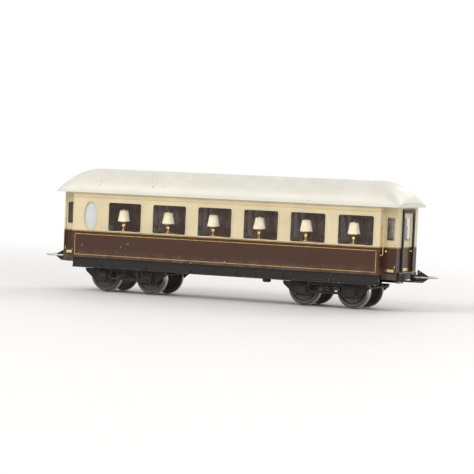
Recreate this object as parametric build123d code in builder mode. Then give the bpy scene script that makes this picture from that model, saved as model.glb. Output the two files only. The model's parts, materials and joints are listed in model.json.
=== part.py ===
"""Gauge 0 model of a bogie parlour coach in tinplate.

X runs along the coach, +Y is its left side, Z is up. The origin lies under the middle of the
coach on the surface that the wheel flanges stand on. All sizes are in millimetres.
"""
from build123d import *
import os

os.makedirs("parts", exist_ok=True)

# Sheet and running clearances
tin = 0.6
bearing_play = 0.05
swing_gap = 0.3

# Wheels and axles
tread_radius = 13.0
flange_height = 1.5
tread_width = 4.2
flange_width = 1.4
back_to_back = 28.8
axle_radius = 1.5
journal_radius = 1.1
journal_depth = 2.6
journal_end_play = 0.2
hub_radius = 3.4
hub_proud = 0.6
rim_thickness = 2.4
web_recess = 1.4
flange_edge = 0.7
wheel_side_gap = 2.6
flange_radius = tread_radius + flange_height
axle_z = flange_radius

# Bogies, with heights counted from the axle
wheelbase = 42.0
half_base = wheelbase / 2
pivot_radius = 2.0
pivot_shoulder_radius = 8.0
pivot_head_radius = 3.5
pivot_head = 1.4
plate_top = axle_z + 3.9
plate_sheet = 1.2
plate_transom = 10.0
plate_spine = 16.0
end_stay = 1.3
frame_inner_y = back_to_back / 2 + flange_width + tread_width + wheel_side_gap
frame_thickness = 1.6
frame_overhang = 16.2
frame_half_length = half_base + frame_overhang
frame_top = axle_z + 5.3
frame_bar = 2.4
tie_bottom = axle_z - 3.1
tie_bar = 2.0
pedestal_bottom = axle_z - 5.9
pedestal_width = 12.0
frame_flange = 1.2
axlebox_width = 8.4
axlebox_height = 8.6
axlebox_depth = 2.4
spring_span = 24.0
spring_leaf = 0.8
spring_width = 2.6

# Heights of the body, from the wheels upwards
wheel_headroom = 1.2
floor_sheet = 0.8
floor_bottom = 2 * flange_radius + wheel_headroom
floor_top = floor_bottom + floor_sheet
solebar_bottom = frame_top + 0.7
panel_bottom = floor_bottom - 1.2
vestibule_bottom = floor_bottom - 4.7
window_sill = floor_top + 21.4
window_height = 23.6
window_top = window_sill + window_height
window_middle_z = window_sill + window_height / 2
cantrail_z = window_top + 4.0
eave_z = window_top + 8.4
roof_rise = 19.6
roof_top = eave_z + roof_rise

# Lengths of the body: a saloon bay for each window, a lavatory bay at the rear, a vestibule
# at each end
window_count = 6
window_pitch = 41.0
window_width = 30.0
window_corner = 1.6
lavatory_bay = 28.0
lavatory_width = 12.0
vestibule_length = 12.0
roof_overhang = 3.5
shoulder_x = (window_count * window_pitch + lavatory_bay) / 2
end_wall_x = shoulder_x + vestibule_length
roof_half_length = end_wall_x + roof_overhang
pivot_x = shoulder_x - 47.0
lavatory_wall_x = lavatory_bay - shoulder_x
window_xs = [lavatory_wall_x + (i + 0.5) * window_pitch for i in range(window_count)]
lavatory_x = lavatory_wall_x - (window_pitch - window_width + lavatory_width) / 2

# Widths of the body
body_width = 66.0
vestibule_inset = 8.0
roof_eave = 2.0
side_y = body_width / 2
side_inner_y = side_y - tin
vestibule_y = side_y - vestibule_inset
vestibule_width = 2 * vestibule_y
roof_width = body_width + 2 * roof_eave

# Raised beading pressed into the sides
bead_width = 0.9
bead_height = 0.35
waist_z = window_sill - 1.3 * bead_width

# Doors
side_door_width = 9.4
side_door_top = window_top + 3.0
side_door_x = (shoulder_x + end_wall_x) / 2
door_window_sill = window_sill + 4.6
door_window_top = window_top - 1.0
door_window_corner = 1.2
door_rim = 1.5
gangway_width = 24.0
gangway_window_width = 18.0
door_thickness = 0.8
door_overlap = 0.6
door_panel_recess = 0.3
door_panel_bottom = floor_top + 3.5
door_panel_top = waist_z - 1.5
glass = 0.5
glass_lap = 1.6
gangway_frame_width = 2.5
gangway_frame_depth = 1.4
gangway_frame_top = side_door_top + 3.0

# Roof
dome_length = 26.0
roof_lip = 3.0
gutter_drop = 0.8
gutter_height = 1.6
gutter_proud = 0.4

# Underframe
solebar_face_y = side_y - 0.6
solebar_flange = 1.8
solebar_sheet = 0.8
headstock_width = vestibule_width - 6.0
headstock_depth = 1.8
headstock_top = floor_top + 0.5
bolster_width = 9.0
bolster_depth = 2.7
cylinder_x = 36.5
cylinder_y = -20.0
cylinder_radius = 3.5
cylinder_bottom = solebar_bottom - 3.0
cylinder_chamfer = 0.8

# Couplings, placed from the end wall
coupling_pivot_x = end_wall_x - 6.0
coupling_pin_radius = 1.5
coupling_pin_head = 2.6
coupling_pin_head_height = 1.0
shank_top = vestibule_bottom - 0.7
shank_sheet = 1.2
shank_width = 8.0
hook_thickness = 1.2
hook_heel_x = end_wall_x + 4.0
hook_nose_x = end_wall_x + 19.5
hook_top = shank_top + 9.2
loop_wire = 0.7
loop_half_width = 6.0
loop_heel_x = end_wall_x + 8.5
loop_front_x = end_wall_x + 25.8
loop_z = shank_top + 3.4
loop_corner = 1.4

# Saloon fittings
partition_sheet = 1.0
bulkhead_x = shoulder_x - tin - partition_sheet
table_length = 14.0
table_depth = 13.0
table_top_z = window_sill + 0.4
table_sheet = 1.0
table_leg = 1.6
lamp_inset = 6.4
lamp_shift = -4.0
lamp_foot_radius = 2.4
lamp_foot_height = 1.0
lamp_body_radius = 1.3
lamp_stem_radius = 0.6
lamp_sides = 8
shade_top_z = window_top - 6.0
shade_bottom_z = shade_top_z - 9.4
shade_bottom_radius = 5.2
shade_top_radius = 3.4
shade_sheet = 0.6
shade_pleats = 12
fitting_gap = 0.4
chair_reach = bulkhead_x - window_xs[-1] - fitting_gap
chair_depth = 12.6
chair_width = 12.4
chair_seat_z = floor_top + 11.0
chair_arm_z = chair_seat_z + 4.5
chair_back_z = window_sill + 4.0
chair_back = 3.2
chair_lean = 1.2
chair_crest = 0.8
chair_arm = 2.4

# Handrails beside the vestibule doors
rail_wire = 0.45
rail_standoff = 1.5
rail_bottom = floor_top + 14.0
rail_top = floor_top + 37.0

ends = (("front", 1), ("rear", -1))
sides = (("left", 1), ("right", -1))


def save(piece, label):
    piece.part.label = label
    export_step(piece.part, f"parts/{label}.step")


# Body sides: one flat sheet each, with pressed beading round the window openings
side_middle_z = (panel_bottom + eave_z) / 2
for side_name, s in sides:
    outside = Plane(origin=(0, s * side_y, 0), x_dir=(s, 0, 0), z_dir=(0, -s, 0))
    saloon_windows = [(s * x, window_middle_z) for x in window_xs]
    with BuildPart() as side:
        with BuildSketch(outside):
            with Locations((0, side_middle_z)):
                Rectangle(2 * shoulder_x, eave_z - panel_bottom)
        extrude(amount=tin)
        with BuildSketch(outside):
            with Locations(*saloon_windows):
                RectangleRounded(
                    window_width + 2 * bead_width, window_height + 2 * bead_width,
                    window_corner + bead_width,
                )
            with Locations((s * lavatory_x, window_middle_z)):
                Ellipse(lavatory_width / 2 + bead_width, window_height / 2 + bead_width)
            with Locations((0, waist_z), (0, cantrail_z)):
                Rectangle(2 * shoulder_x, bead_width)
        extrude(amount=-bead_height)
        with BuildSketch(outside):
            with Locations(*saloon_windows):
                RectangleRounded(window_width, window_height, window_corner)
            with Locations((s * lavatory_x, window_middle_z)):
                Ellipse(lavatory_width / 2, window_height / 2)
        extrude(amount=2 * tin, both=True, mode=Mode.SUBTRACT)
    save(side, f"side_{side_name}")

# Shoulders close the body's corners beside the narrower vestibules
for end_name, e in ends:
    with BuildPart() as shoulders:
        for s in (1, -1):
            with Locations((
                e * (shoulder_x - tin / 2), s * (vestibule_y + side_inner_y) / 2, side_middle_z,
            )):
                Box(tin, side_inner_y - vestibule_y, eave_z - panel_bottom)
    save(shoulders, f"shoulders_{end_name}")

# Glazing: a strip behind the saloon windows of each side, and a pane behind each oval window
glass_left_x = window_xs[0] - window_width / 2 - glass_lap
glass_right_x = window_xs[-1] + window_width / 2 + glass_lap
glass_height = window_height + 2 * glass_lap
for side_name, s in sides:
    with BuildPart() as saloon_glazing:
        with Locations((
            (glass_left_x + glass_right_x) / 2, s * (side_inner_y - glass / 2), window_middle_z,
        )):
            Box(glass_right_x - glass_left_x, glass, glass_height)
    save(saloon_glazing, f"saloon_glazing_{side_name}")
with BuildPart() as lavatory_glazing:
    for s in (1, -1):
        with Locations((lavatory_x, s * (side_inner_y - glass / 2), window_middle_z)):
            Box(lavatory_width + 2 * glass_lap, glass, glass_height)
save(lavatory_glazing, "lavatory_glazing")

# Vestibules: narrower end boxes, open for two side doors and the gangway door
for end_name, e in ends:
    wall_middle_x = e * (shoulder_x - tin + end_wall_x) / 2
    wall_length = end_wall_x - shoulder_x + tin
    with BuildPart() as vestibule:
        with BuildSketch(Plane.XY.offset(vestibule_bottom)):
            with Locations((wall_middle_x, 0)):
                Rectangle(wall_length, vestibule_width)
            with Locations((wall_middle_x - e * tin, 0)):
                Rectangle(wall_length, vestibule_width - 2 * tin, mode=Mode.SUBTRACT)
        extrude(amount=eave_z - vestibule_bottom)
        with BuildSketch(Plane.XZ):
            with Locations((e * side_door_x, (floor_bottom + side_door_top) / 2)):
                Rectangle(side_door_width, side_door_top - floor_bottom)
        extrude(amount=vestibule_width, both=True, mode=Mode.SUBTRACT)
        with BuildSketch(Plane.YZ.offset(e * end_wall_x)):
            with Locations((0, (floor_bottom + side_door_top) / 2)):
                Rectangle(gangway_width, side_door_top - floor_bottom)
        extrude(amount=2 * tin, both=True, mode=Mode.SUBTRACT)
    save(vestibule, f"vestibule_{end_name}")

# Doors: each slab lies against the inside of its wall, with its window cut and its lower panel
# sunk
door_slab_top = side_door_top + door_overlap
door_slab_middle = (floor_top + door_slab_top) / 2
door_window_middle = (door_window_sill + door_window_top) / 2
door_window_height = door_window_top - door_window_sill
side_door_window = side_door_width - 2 * door_rim
door_panel_middle = (door_panel_bottom + door_panel_top) / 2
door_panel_height = door_panel_top - door_panel_bottom
for end_name, e in ends:
    for side_name, s in sides:
        door_face = Plane.XZ.offset(-s * (vestibule_y - tin - door_thickness / 2))
        with BuildPart() as door:
            with BuildSketch(door_face):
                with Locations((e * side_door_x, door_slab_middle)):
                    Rectangle(side_door_width + 2 * door_overlap, door_slab_top - floor_top)
                with Locations((e * side_door_x, door_window_middle)):
                    RectangleRounded(
                        side_door_window, door_window_height, door_window_corner,
                        mode=Mode.SUBTRACT,
                    )
            extrude(amount=door_thickness / 2, both=True)
            with BuildSketch(Plane.XZ.offset(-s * (vestibule_y - tin))):
                with Locations((e * side_door_x, door_panel_middle)):
                    Rectangle(side_door_window, door_panel_height)
            extrude(amount=s * door_panel_recess, mode=Mode.SUBTRACT)
        save(door, f"door_{end_name}_{side_name}")
    with BuildPart() as gangway_door:
        with BuildSketch(Plane.YZ.offset(e * (end_wall_x - tin - door_thickness / 2))):
            with Locations((0, door_slab_middle)):
                Rectangle(gangway_width + 2 * door_overlap, door_slab_top - floor_top)
            with Locations((0, door_window_middle)):
                RectangleRounded(
                    gangway_window_width, door_window_height, door_window_corner,
                    mode=Mode.SUBTRACT,
                )
        extrude(amount=door_thickness / 2, both=True)
        with BuildSketch(Plane.YZ.offset(e * (end_wall_x - tin))):
            with Locations((0, door_panel_middle)):
                Rectangle(gangway_window_width, door_panel_height)
        extrude(amount=-e * door_panel_recess, mode=Mode.SUBTRACT)
    save(gangway_door, f"gangway_door_{end_name}")
    with BuildPart() as door_glazing:
        for s in (1, -1):
            pane_y = s * (vestibule_y - tin - door_thickness - glass / 2)
            with Locations((e * side_door_x, pane_y, door_window_middle)):
                Box(side_door_window + glass_lap, glass, door_window_height + glass_lap)
        pane_x = e * (end_wall_x - tin - door_thickness - glass / 2)
        with Locations((pane_x, 0, door_window_middle)):
            Box(glass, gangway_window_width + glass_lap, door_window_height + glass_lap)
    save(door_glazing, f"door_glazing_{end_name}")
    with BuildPart() as gangway_frame:
        with BuildSketch(Plane.YZ.offset(e * (end_wall_x + gangway_frame_depth / 2))):
            with Locations((0, (headstock_top + gangway_frame_top) / 2)):
                Rectangle(
                    gangway_width + 2 * gangway_frame_width, gangway_frame_top - headstock_top,
                )
            with Locations((0, (headstock_top + side_door_top) / 2)):
                Rectangle(gangway_width, side_door_top - headstock_top, mode=Mode.SUBTRACT)
        extrude(amount=gangway_frame_depth / 2, both=True)
    save(gangway_frame, f"gangway_frame_{end_name}")


# Roof: a domed shell with a turned-in lip that sits on the walls and a gutter round its edge
def roof_form(inset, base):
    """A solid under the roof's curve, inset all round, standing on the given height."""
    half_width = roof_width / 2 - inset
    rise = roof_top - inset - base
    end_x = roof_half_length - inset
    # Columns: distance from the end as a share of the dome's length, share of the rise,
    # share of the half width
    dome = (
        (0.00, 0.17, 0.955),
        (0.12, 0.48, 0.990),
        (0.32, 0.74, 1.000),
        (0.60, 0.92, 1.000),
        (1.00, 1.00, 1.000),
        (1.50, 1.00, 1.000),
    )
    with BuildPart() as form:
        for e in (1, -1):
            for along, rise_share, width_share in dome:
                with BuildSketch(Plane.YZ.offset(e * (end_x - along * dome_length))):
                    with BuildLine():
                        EllipticalCenterArc(
                            (0, base), half_width * width_share, rise * rise_share, arc_size=180,
                        )
                        Line((-half_width * width_share, base), (half_width * width_share, base))
                    make_face()
            loft()
        barrel_half = end_x - dome[-1][0] * dome_length
        with BuildSketch(Plane.YZ.offset(-barrel_half)):
            with BuildLine():
                EllipticalCenterArc((0, base), half_width, rise, arc_size=180)
                Line((-half_width, base), (half_width, base))
            make_face()
        extrude(amount=2 * barrel_half)
    return form.part


with BuildPart() as roof:
    add(roof_form(0, eave_z))
    add(roof_form(tin, eave_z + tin), mode=Mode.SUBTRACT)
    with BuildSketch(Plane.XY.offset(eave_z)):
        Rectangle(2 * (shoulder_x - roof_lip), body_width - 2 * roof_lip)
    extrude(amount=tin, mode=Mode.SUBTRACT)
    with BuildSketch(Plane.XY.offset(eave_z - gutter_drop)):
        RectangleRounded(
            2 * (roof_half_length + gutter_proud), roof_width + 2 * gutter_proud, roof_lip,
        )
        Rectangle(2 * (roof_half_length - tin), roof_width - 2 * tin, mode=Mode.SUBTRACT)
    extrude(amount=gutter_height)
save(roof, "roof")

# Floor sheet, the full width between the sides and narrower in the vestibules
with BuildPart() as floor_plate:
    with BuildSketch(Plane.XY.offset(floor_bottom)):
        Rectangle(2 * (shoulder_x - tin), 2 * side_inner_y)
        Rectangle(2 * (end_wall_x - tin), 2 * (vestibule_y - tin))
    extrude(amount=floor_sheet)
save(floor_plate, "floor_plate")

# Solebars: channels with the open side outwards
for side_name, s in sides:
    web_y = solebar_face_y - solebar_flange
    with BuildPart() as solebar:
        with BuildSketch(Plane.YZ.offset(-shoulder_x + tin)):
            with BuildLine():
                Polyline(
                    (s * web_y, solebar_bottom),
                    (s * solebar_face_y, solebar_bottom),
                    (s * solebar_face_y, solebar_bottom + solebar_sheet),
                    (s * (web_y + solebar_sheet), solebar_bottom + solebar_sheet),
                    (s * (web_y + solebar_sheet), floor_bottom - solebar_sheet),
                    (s * solebar_face_y, floor_bottom - solebar_sheet),
                    (s * solebar_face_y, floor_bottom),
                    (s * web_y, floor_bottom),
                    close=True,
                )
            make_face()
        extrude(amount=2 * (shoulder_x - tin))
    save(solebar, f"solebar_{side_name}")

# Headstocks, bolsters and bogie pivots, at both ends
for end_name, e in ends:
    with BuildPart() as headstock:
        with Locations((
            e * (end_wall_x + headstock_depth / 2), 0, (vestibule_bottom + headstock_top) / 2,
        )):
            Box(headstock_depth, headstock_width, headstock_top - vestibule_bottom)
        outer_edges = headstock.edges().filter_by(Axis.Y).group_by(Axis.X)[-1 if e > 0 else 0]
        chamfer(outer_edges, length=headstock_depth / 4)
    save(headstock, f"headstock_{end_name}")
    with BuildPart() as bolster:
        with Locations((e * pivot_x, 0, floor_bottom - bolster_depth / 2)):
            Box(bolster_width, 2 * (solebar_face_y - solebar_flange), bolster_depth)
    save(bolster, f"bolster_{end_name}")
    shoulder_z = plate_top + swing_gap
    head_top = plate_top - plate_sheet - swing_gap
    with BuildPart() as bogie_pivot:
        with BuildSketch(Plane.XZ):
            with BuildLine():
                Polyline(
                    (e * pivot_x, floor_bottom - bolster_depth),
                    (e * pivot_x + pivot_shoulder_radius, floor_bottom - bolster_depth),
                    (e * pivot_x + pivot_shoulder_radius, shoulder_z),
                    (e * pivot_x + pivot_radius, shoulder_z),
                    (e * pivot_x + pivot_radius, head_top),
                    (e * pivot_x + pivot_head_radius, head_top),
                    (e * pivot_x + pivot_head_radius, head_top - pivot_head),
                    (e * pivot_x, head_top - pivot_head),
                    close=True,
                )
            make_face()
        revolve(axis=Axis((e * pivot_x, 0, 0), (0, 0, 1)))
    save(bogie_pivot, f"bogie_pivot_{end_name}")

# Brake cylinder below the floor
with BuildPart() as brake_cylinder:
    with BuildSketch(Plane(origin=(cylinder_x, cylinder_y, cylinder_bottom))):
        Circle(cylinder_radius)
    extrude(amount=floor_bottom - cylinder_bottom)
    chamfer(brake_cylinder.edges().group_by(Axis.Z)[0], length=cylinder_chamfer)
save(brake_cylinder, "brake_cylinder")

# Saloon partition and bulkheads
wall_middle_z = (floor_top + eave_z) / 2
wall_height = eave_z - floor_top
with BuildPart() as saloon_partition:
    with Locations((0, 0, wall_middle_z)):
        Box(2 * bulkhead_x, partition_sheet, wall_height)
save(saloon_partition, "saloon_partition")
half_wall = side_inner_y - partition_sheet / 2
with BuildPart() as bulkheads:
    for e in (1, -1):
        with Locations((e * (bulkhead_x + partition_sheet / 2), 0, wall_middle_z)):
            Box(partition_sheet, 2 * side_inner_y, wall_height)
    for s in (1, -1):
        with Locations((lavatory_wall_x, s * (partition_sheet + half_wall) / 2, wall_middle_z)):
            Box(partition_sheet, half_wall, wall_height)
save(bulkheads, "bulkheads")

# Tables, lamps and armchairs: a table, a lamp and two facing chairs at each saloon window
places = [(x, s) for s in (1, -1) for x in window_xs]
leg_height = table_top_z - table_sheet - floor_top
lamp_y = side_inner_y - lamp_inset
fitting_side_y = side_inner_y - glass - fitting_gap
with BuildPart() as tables:
    for x, s in places:
        table_y = s * (fitting_side_y - table_depth / 2)
        with Locations((x, table_y, table_top_z - table_sheet / 2)):
            Box(table_length, table_depth, table_sheet)
        with Locations((x, table_y, floor_top + leg_height / 2)):
            Box(table_leg, table_leg, leg_height)
save(tables, "tables")

lamp_steps = (
    (lamp_foot_radius, table_top_z + lamp_foot_height),
    (lamp_body_radius, shade_bottom_z),
    (lamp_stem_radius, shade_top_z - shade_sheet),
)
with BuildPart() as table_lamps:
    for x, s in places:
        for step_radius, step_top in lamp_steps:
            with BuildSketch(Plane(origin=(x + lamp_shift, s * lamp_y, table_top_z))):
                RegularPolygon(step_radius, lamp_sides)
            extrude(amount=step_top - table_top_z)
save(table_lamps, "table_lamps")

# A lampshade is a pleated cone, open below and closed by a disc that rests on the stem
shade_rings = (
    (shade_bottom_z, shade_bottom_radius),
    (shade_top_z, shade_top_radius),
)
with BuildPart() as lamp_shades:
    for x, s in places:
        for ring_z, ring_radius in shade_rings:
            with BuildSketch(Plane(origin=(x + lamp_shift, s * lamp_y, ring_z))):
                RegularPolygon(ring_radius, shade_pleats)
        loft()
        for ring_z, ring_radius in shade_rings:
            with BuildSketch(Plane(origin=(x + lamp_shift, s * lamp_y, ring_z - shade_sheet))):
                RegularPolygon(ring_radius - shade_sheet, shade_pleats)
        loft(mode=Mode.SUBTRACT)
save(lamp_shades, "lamp_shades")

with BuildPart() as armchairs:
    for x, s in places:
        for facing in (1, -1):
            # A chair's back is on its outer side, away from the table
            back_x = x + facing * chair_reach
            chair_face = Plane(
                origin=(back_x, s * fitting_side_y, floor_top),
                x_dir=(-facing, 0, 0), z_dir=(0, facing, 0),
            )
            with BuildSketch(chair_face):
                with BuildLine():
                    Polyline(
                        (chair_lean, 0),
                        (chair_depth, 0),
                        (chair_depth, chair_seat_z - floor_top),
                        (chair_back + chair_lean, chair_seat_z - floor_top),
                        (chair_back, chair_back_z - floor_top),
                        (chair_lean, chair_back_z - floor_top + chair_crest),
                        (0, chair_back_z - floor_top),
                        close=True,
                    )
                make_face()
            extrude(amount=-s * facing * chair_width)
            for arm_y in (chair_arm / 2, chair_width - chair_arm / 2):
                with Locations((
                    back_x - facing * (chair_back + chair_depth) / 2,
                    s * (fitting_side_y - arm_y),
                    (chair_seat_z + chair_arm_z) / 2,
                )):
                    Box(chair_depth - chair_back, chair_arm, chair_arm_z - chair_seat_z)
save(armchairs, "armchairs")

# Handrails stand on the shoulders beside the vestibule doors
rail_y = (vestibule_y + side_y) / 2
with BuildPart() as handrails:
    for e in (1, -1):
        for s in (1, -1):
            rail_start = (e * shoulder_x, s * rail_y, rail_bottom)
            out_x = e * (shoulder_x + rail_standoff)
            with BuildLine():
                path = Polyline(
                    rail_start,
                    (out_x, s * rail_y, rail_bottom),
                    (out_x, s * rail_y, rail_top),
                    (e * shoulder_x, s * rail_y, rail_top),
                )
            with BuildSketch(Plane(origin=rail_start, z_dir=(e, 0, 0))):
                Circle(rail_wire)
            sweep(path=path, transition=Transition.RIGHT)
save(handrails, "handrails")

# Coupling pins hang from the floor; the shank swings between the pin's shoulder and head
for end_name, e in ends:
    pin_x = e * coupling_pivot_x
    shank_bottom = shank_top - shank_sheet
    pin_head_top = shank_bottom - swing_gap
    with BuildPart() as coupling_pin:
        with BuildSketch(Plane.XZ):
            with BuildLine():
                Polyline(
                    (pin_x, floor_bottom),
                    (pin_x + coupling_pin_head, floor_bottom),
                    (pin_x + coupling_pin_head, shank_top + swing_gap),
                    (pin_x + coupling_pin_radius, shank_top + swing_gap),
                    (pin_x + coupling_pin_radius, pin_head_top),
                    (pin_x + coupling_pin_head, pin_head_top),
                    (pin_x + coupling_pin_head, pin_head_top - coupling_pin_head_height),
                    (pin_x, pin_head_top - coupling_pin_head_height),
                    close=True,
                )
            make_face()
        revolve(axis=Axis((pin_x, 0, 0), (0, 0, 1)))
    save(coupling_pin, f"coupling_pin_{end_name}")

    with BuildPart() as drawhook:
        with BuildSketch(Plane.XY.offset(shank_bottom)):
            with BuildLine():
                Polyline(
                    (pin_x, -shank_width / 2),
                    (e * (hook_heel_x + 4), -shank_width / 2),
                    (e * (hook_nose_x - 6), -hook_thickness / 2),
                    (e * (hook_nose_x - 6), hook_thickness / 2),
                    (e * (hook_heel_x + 4), shank_width / 2),
                    (pin_x, shank_width / 2),
                    close=True,
                )
            make_face()
            with Locations((pin_x, 0)):
                Circle(shank_width / 2)
                Circle(coupling_pin_radius + bearing_play, mode=Mode.SUBTRACT)
        extrude(amount=shank_sheet)
        with BuildSketch(Plane.XZ):
            with BuildLine():
                Polyline(
                    (e * hook_heel_x, shank_bottom),
                    (e * (hook_nose_x - 5), shank_bottom),
                    (e * hook_nose_x, loop_z - 1.2),
                    (e * hook_nose_x, loop_z + 0.8),
                    (e * (hook_heel_x + 10), hook_top - 2.0),
                    (e * (hook_heel_x + 6), hook_top),
                    (e * (hook_heel_x + 6), loop_z + 1.6),
                    (e * hook_heel_x, loop_z + 1.6),
                    close=True,
                )
            make_face()
        extrude(amount=hook_thickness / 2, both=True)
    save(drawhook, f"drawhook_{end_name}")

    # Half of the wire's line, from the hook round to the middle of the front bar
    half_loop = (
        (loop_heel_x, hook_thickness / 2, loop_z),
        (loop_heel_x, loop_half_width - loop_corner, loop_z),
        (loop_heel_x + loop_corner, loop_half_width, loop_z),
        (loop_front_x - loop_corner, loop_half_width, loop_z),
        (loop_front_x, loop_half_width - loop_corner, loop_z),
    )
    other_half = [(x, -y, z) for x, y, z in reversed(half_loop)]
    with BuildPart() as coupling_loop:
        with BuildLine():
            path = Polyline(*half_loop, *other_half)
        with BuildSketch(Plane(origin=half_loop[0], z_dir=(0, 1, 0))):
            Circle(loop_wire)
        sweep(path=path, transition=Transition.RIGHT)
        if e < 0:
            mirror(about=Plane.YZ, mode=Mode.REPLACE)
    save(coupling_loop, f"coupling_loop_{end_name}")

# Bogies
bore_radius = journal_radius + bearing_play
frame_outer_y = frame_inner_y + frame_thickness
for end_name, e in ends:
    centre_x = e * pivot_x
    with BuildPart() as bogie_plate:
        with BuildSketch(Plane((centre_x, 0, plate_top - plate_sheet))):
            Rectangle(plate_transom, 2 * frame_inner_y)
            Rectangle(2 * frame_half_length, plate_spine)
            with Locations(
                (frame_half_length - end_stay / 2, 0), (-frame_half_length + end_stay / 2, 0),
            ):
                Rectangle(end_stay, 2 * frame_inner_y)
            Circle(pivot_radius + bearing_play, mode=Mode.SUBTRACT)
        extrude(amount=plate_sheet)
    save(bogie_plate, f"bogie_plate_{end_name}")

    for side_name, s in sides:
        inner_face = Plane(
            origin=(centre_x, s * frame_inner_y, 0), x_dir=(s, 0, 0), z_dir=(0, -s, 0),
        )
        outer_face = inner_face.offset(-frame_thickness)
        # Half of the frame's outline, from the middle of the top to the middle of the tie bar
        tail = pedestal_width / 2 + half_base
        neck = half_base - pedestal_width / 2
        half_outline = (
            (0, frame_top),
            (frame_half_length, frame_top),
            (frame_half_length, frame_top - frame_bar),
            (tail + 1.5, pedestal_bottom + 1.5),
            (tail, pedestal_bottom),
            (neck, pedestal_bottom),
            (neck - 2.8, tie_bottom),
            (0, tie_bottom),
        )
        with BuildPart() as bogie_side:
            with BuildSketch(inner_face):
                with BuildLine():
                    Polyline(*half_outline)
                    mirror(about=Plane.YZ)
                make_face()
                opening_bottom = tie_bottom + tie_bar
                opening_top = frame_top - frame_bar
                with Locations((0, (opening_bottom + opening_top) / 2)):
                    RectangleRounded(
                        2 * neck - 3.0, opening_top - opening_bottom, 0.8, mode=Mode.SUBTRACT,
                    )
            extrude(amount=-frame_thickness)
            with BuildSketch(outer_face):
                with Locations((0, frame_top - 0.5)):
                    Rectangle(2 * frame_half_length, 1.0)
                with Locations((0, tie_bottom + 0.4)):
                    Rectangle(2 * neck - 5.6, 0.8)
                for u in (-half_base, half_base):
                    for guide in (-1, 1):
                        with Locations((u + guide * (axlebox_width / 2 + 0.7), axle_z)):
                            Rectangle(1.4, 2 * (axle_z - pedestal_bottom) - 1.4)
            extrude(amount=-frame_flange)
            with BuildSketch(outer_face):
                with Locations((-half_base, axle_z), (half_base, axle_z)):
                    Rectangle(axlebox_width, axlebox_height)
            extrude(amount=-axlebox_depth)
            with BuildSketch(inner_face):
                with Locations((-half_base, axle_z), (half_base, axle_z)):
                    Circle(bore_radius)
            extrude(amount=-journal_depth - journal_end_play, mode=Mode.SUBTRACT)
        save(bogie_side, f"bogie_side_{end_name}_{side_name}")

    # Elliptic springs, a pair of bowed leaves held between the top bar and the tie bar
    with BuildPart() as bogie_springs:
        for s in (1, -1):
            spring_face = Plane(
                origin=(centre_x, s * (frame_inner_y + 0.2), 0), x_dir=(s, 0, 0), z_dir=(0, -s, 0),
            )
            spring_bottom = tie_bottom + tie_bar
            spring_top = frame_top - frame_bar
            spring_middle = (spring_bottom + spring_top) / 2
            with BuildSketch(spring_face):
                with BuildLine():
                    ThreePointArc(
                        (-spring_span / 2, spring_middle), (0, spring_top),
                        (spring_span / 2, spring_middle),
                    )
                    ThreePointArc(
                        (-spring_span / 2, spring_middle), (0, spring_bottom),
                        (spring_span / 2, spring_middle),
                    )
                make_face()
                with BuildLine():
                    ThreePointArc(
                        (-spring_span / 2 + 2.5, spring_middle), (0, spring_top - spring_leaf),
                        (spring_span / 2 - 2.5, spring_middle),
                    )
                    ThreePointArc(
                        (-spring_span / 2 + 2.5, spring_middle), (0, spring_bottom + spring_leaf),
                        (spring_span / 2 - 2.5, spring_middle),
                    )
                make_face(mode=Mode.SUBTRACT)
            extrude(amount=-spring_width)
    save(bogie_springs, f"bogie_springs_{end_name}")

    # Wheelsets: the inner axle is the one nearer the middle of the coach
    for axle_name, a in (("outer", 1), ("inner", -1)):
        axle_x = centre_x + e * a * half_base
        axle_line = Axis((axle_x, 0, axle_z), (0, 1, 0))
        axle_plane = Plane(origin=(axle_x, 0, axle_z), x_dir=(1, 0, 0), z_dir=(0, 0, 1))
        wheel_back = back_to_back / 2
        flange_face = wheel_back + flange_width
        wheel_front = flange_face + tread_width
        hub_front = wheel_front + hub_proud
        rim_inner = tread_radius - rim_thickness
        journal_y = frame_inner_y + journal_depth
        with BuildPart() as axle:
            with BuildSketch(axle_plane):
                with BuildLine():
                    Polyline(
                        (0, -journal_y),
                        (journal_radius, -journal_y),
                        (journal_radius, -hub_front),
                        (axle_radius, -hub_front),
                        (axle_radius, hub_front),
                        (journal_radius, hub_front),
                        (journal_radius, journal_y),
                        (0, journal_y),
                        close=True,
                    )
                make_face()
            revolve(axis=axle_line)
        save(axle, f"axle_{end_name}_{axle_name}")
        with BuildPart() as wheels:
            with BuildSketch(axle_plane):
                with BuildLine():
                    Polyline(
                        (axle_radius, wheel_back),
                        (flange_radius, wheel_back),
                        (flange_radius, wheel_back + flange_edge),
                        (tread_radius, flange_face),
                        (tread_radius, wheel_front),
                        (rim_inner, wheel_front),
                        (rim_inner, wheel_front - web_recess),
                        (hub_radius, wheel_front - web_recess),
                        (hub_radius, hub_front),
                        (axle_radius, hub_front),
                        close=True,
                    )
                make_face()
                mirror(about=Plane.XZ)
            revolve(axis=axle_line)
        save(wheels, f"wheels_{end_name}_{axle_name}")
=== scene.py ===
"""Finishes and fittings of a gauge 0 model parlour coach.

The file is laid out as an add-on and run as a script. Everything is in metres, in the frame of the
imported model: X along the coach, Z up.
"""
import json
import math

import bmesh
import bpy
from mathutils import Matrix, Vector


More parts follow.
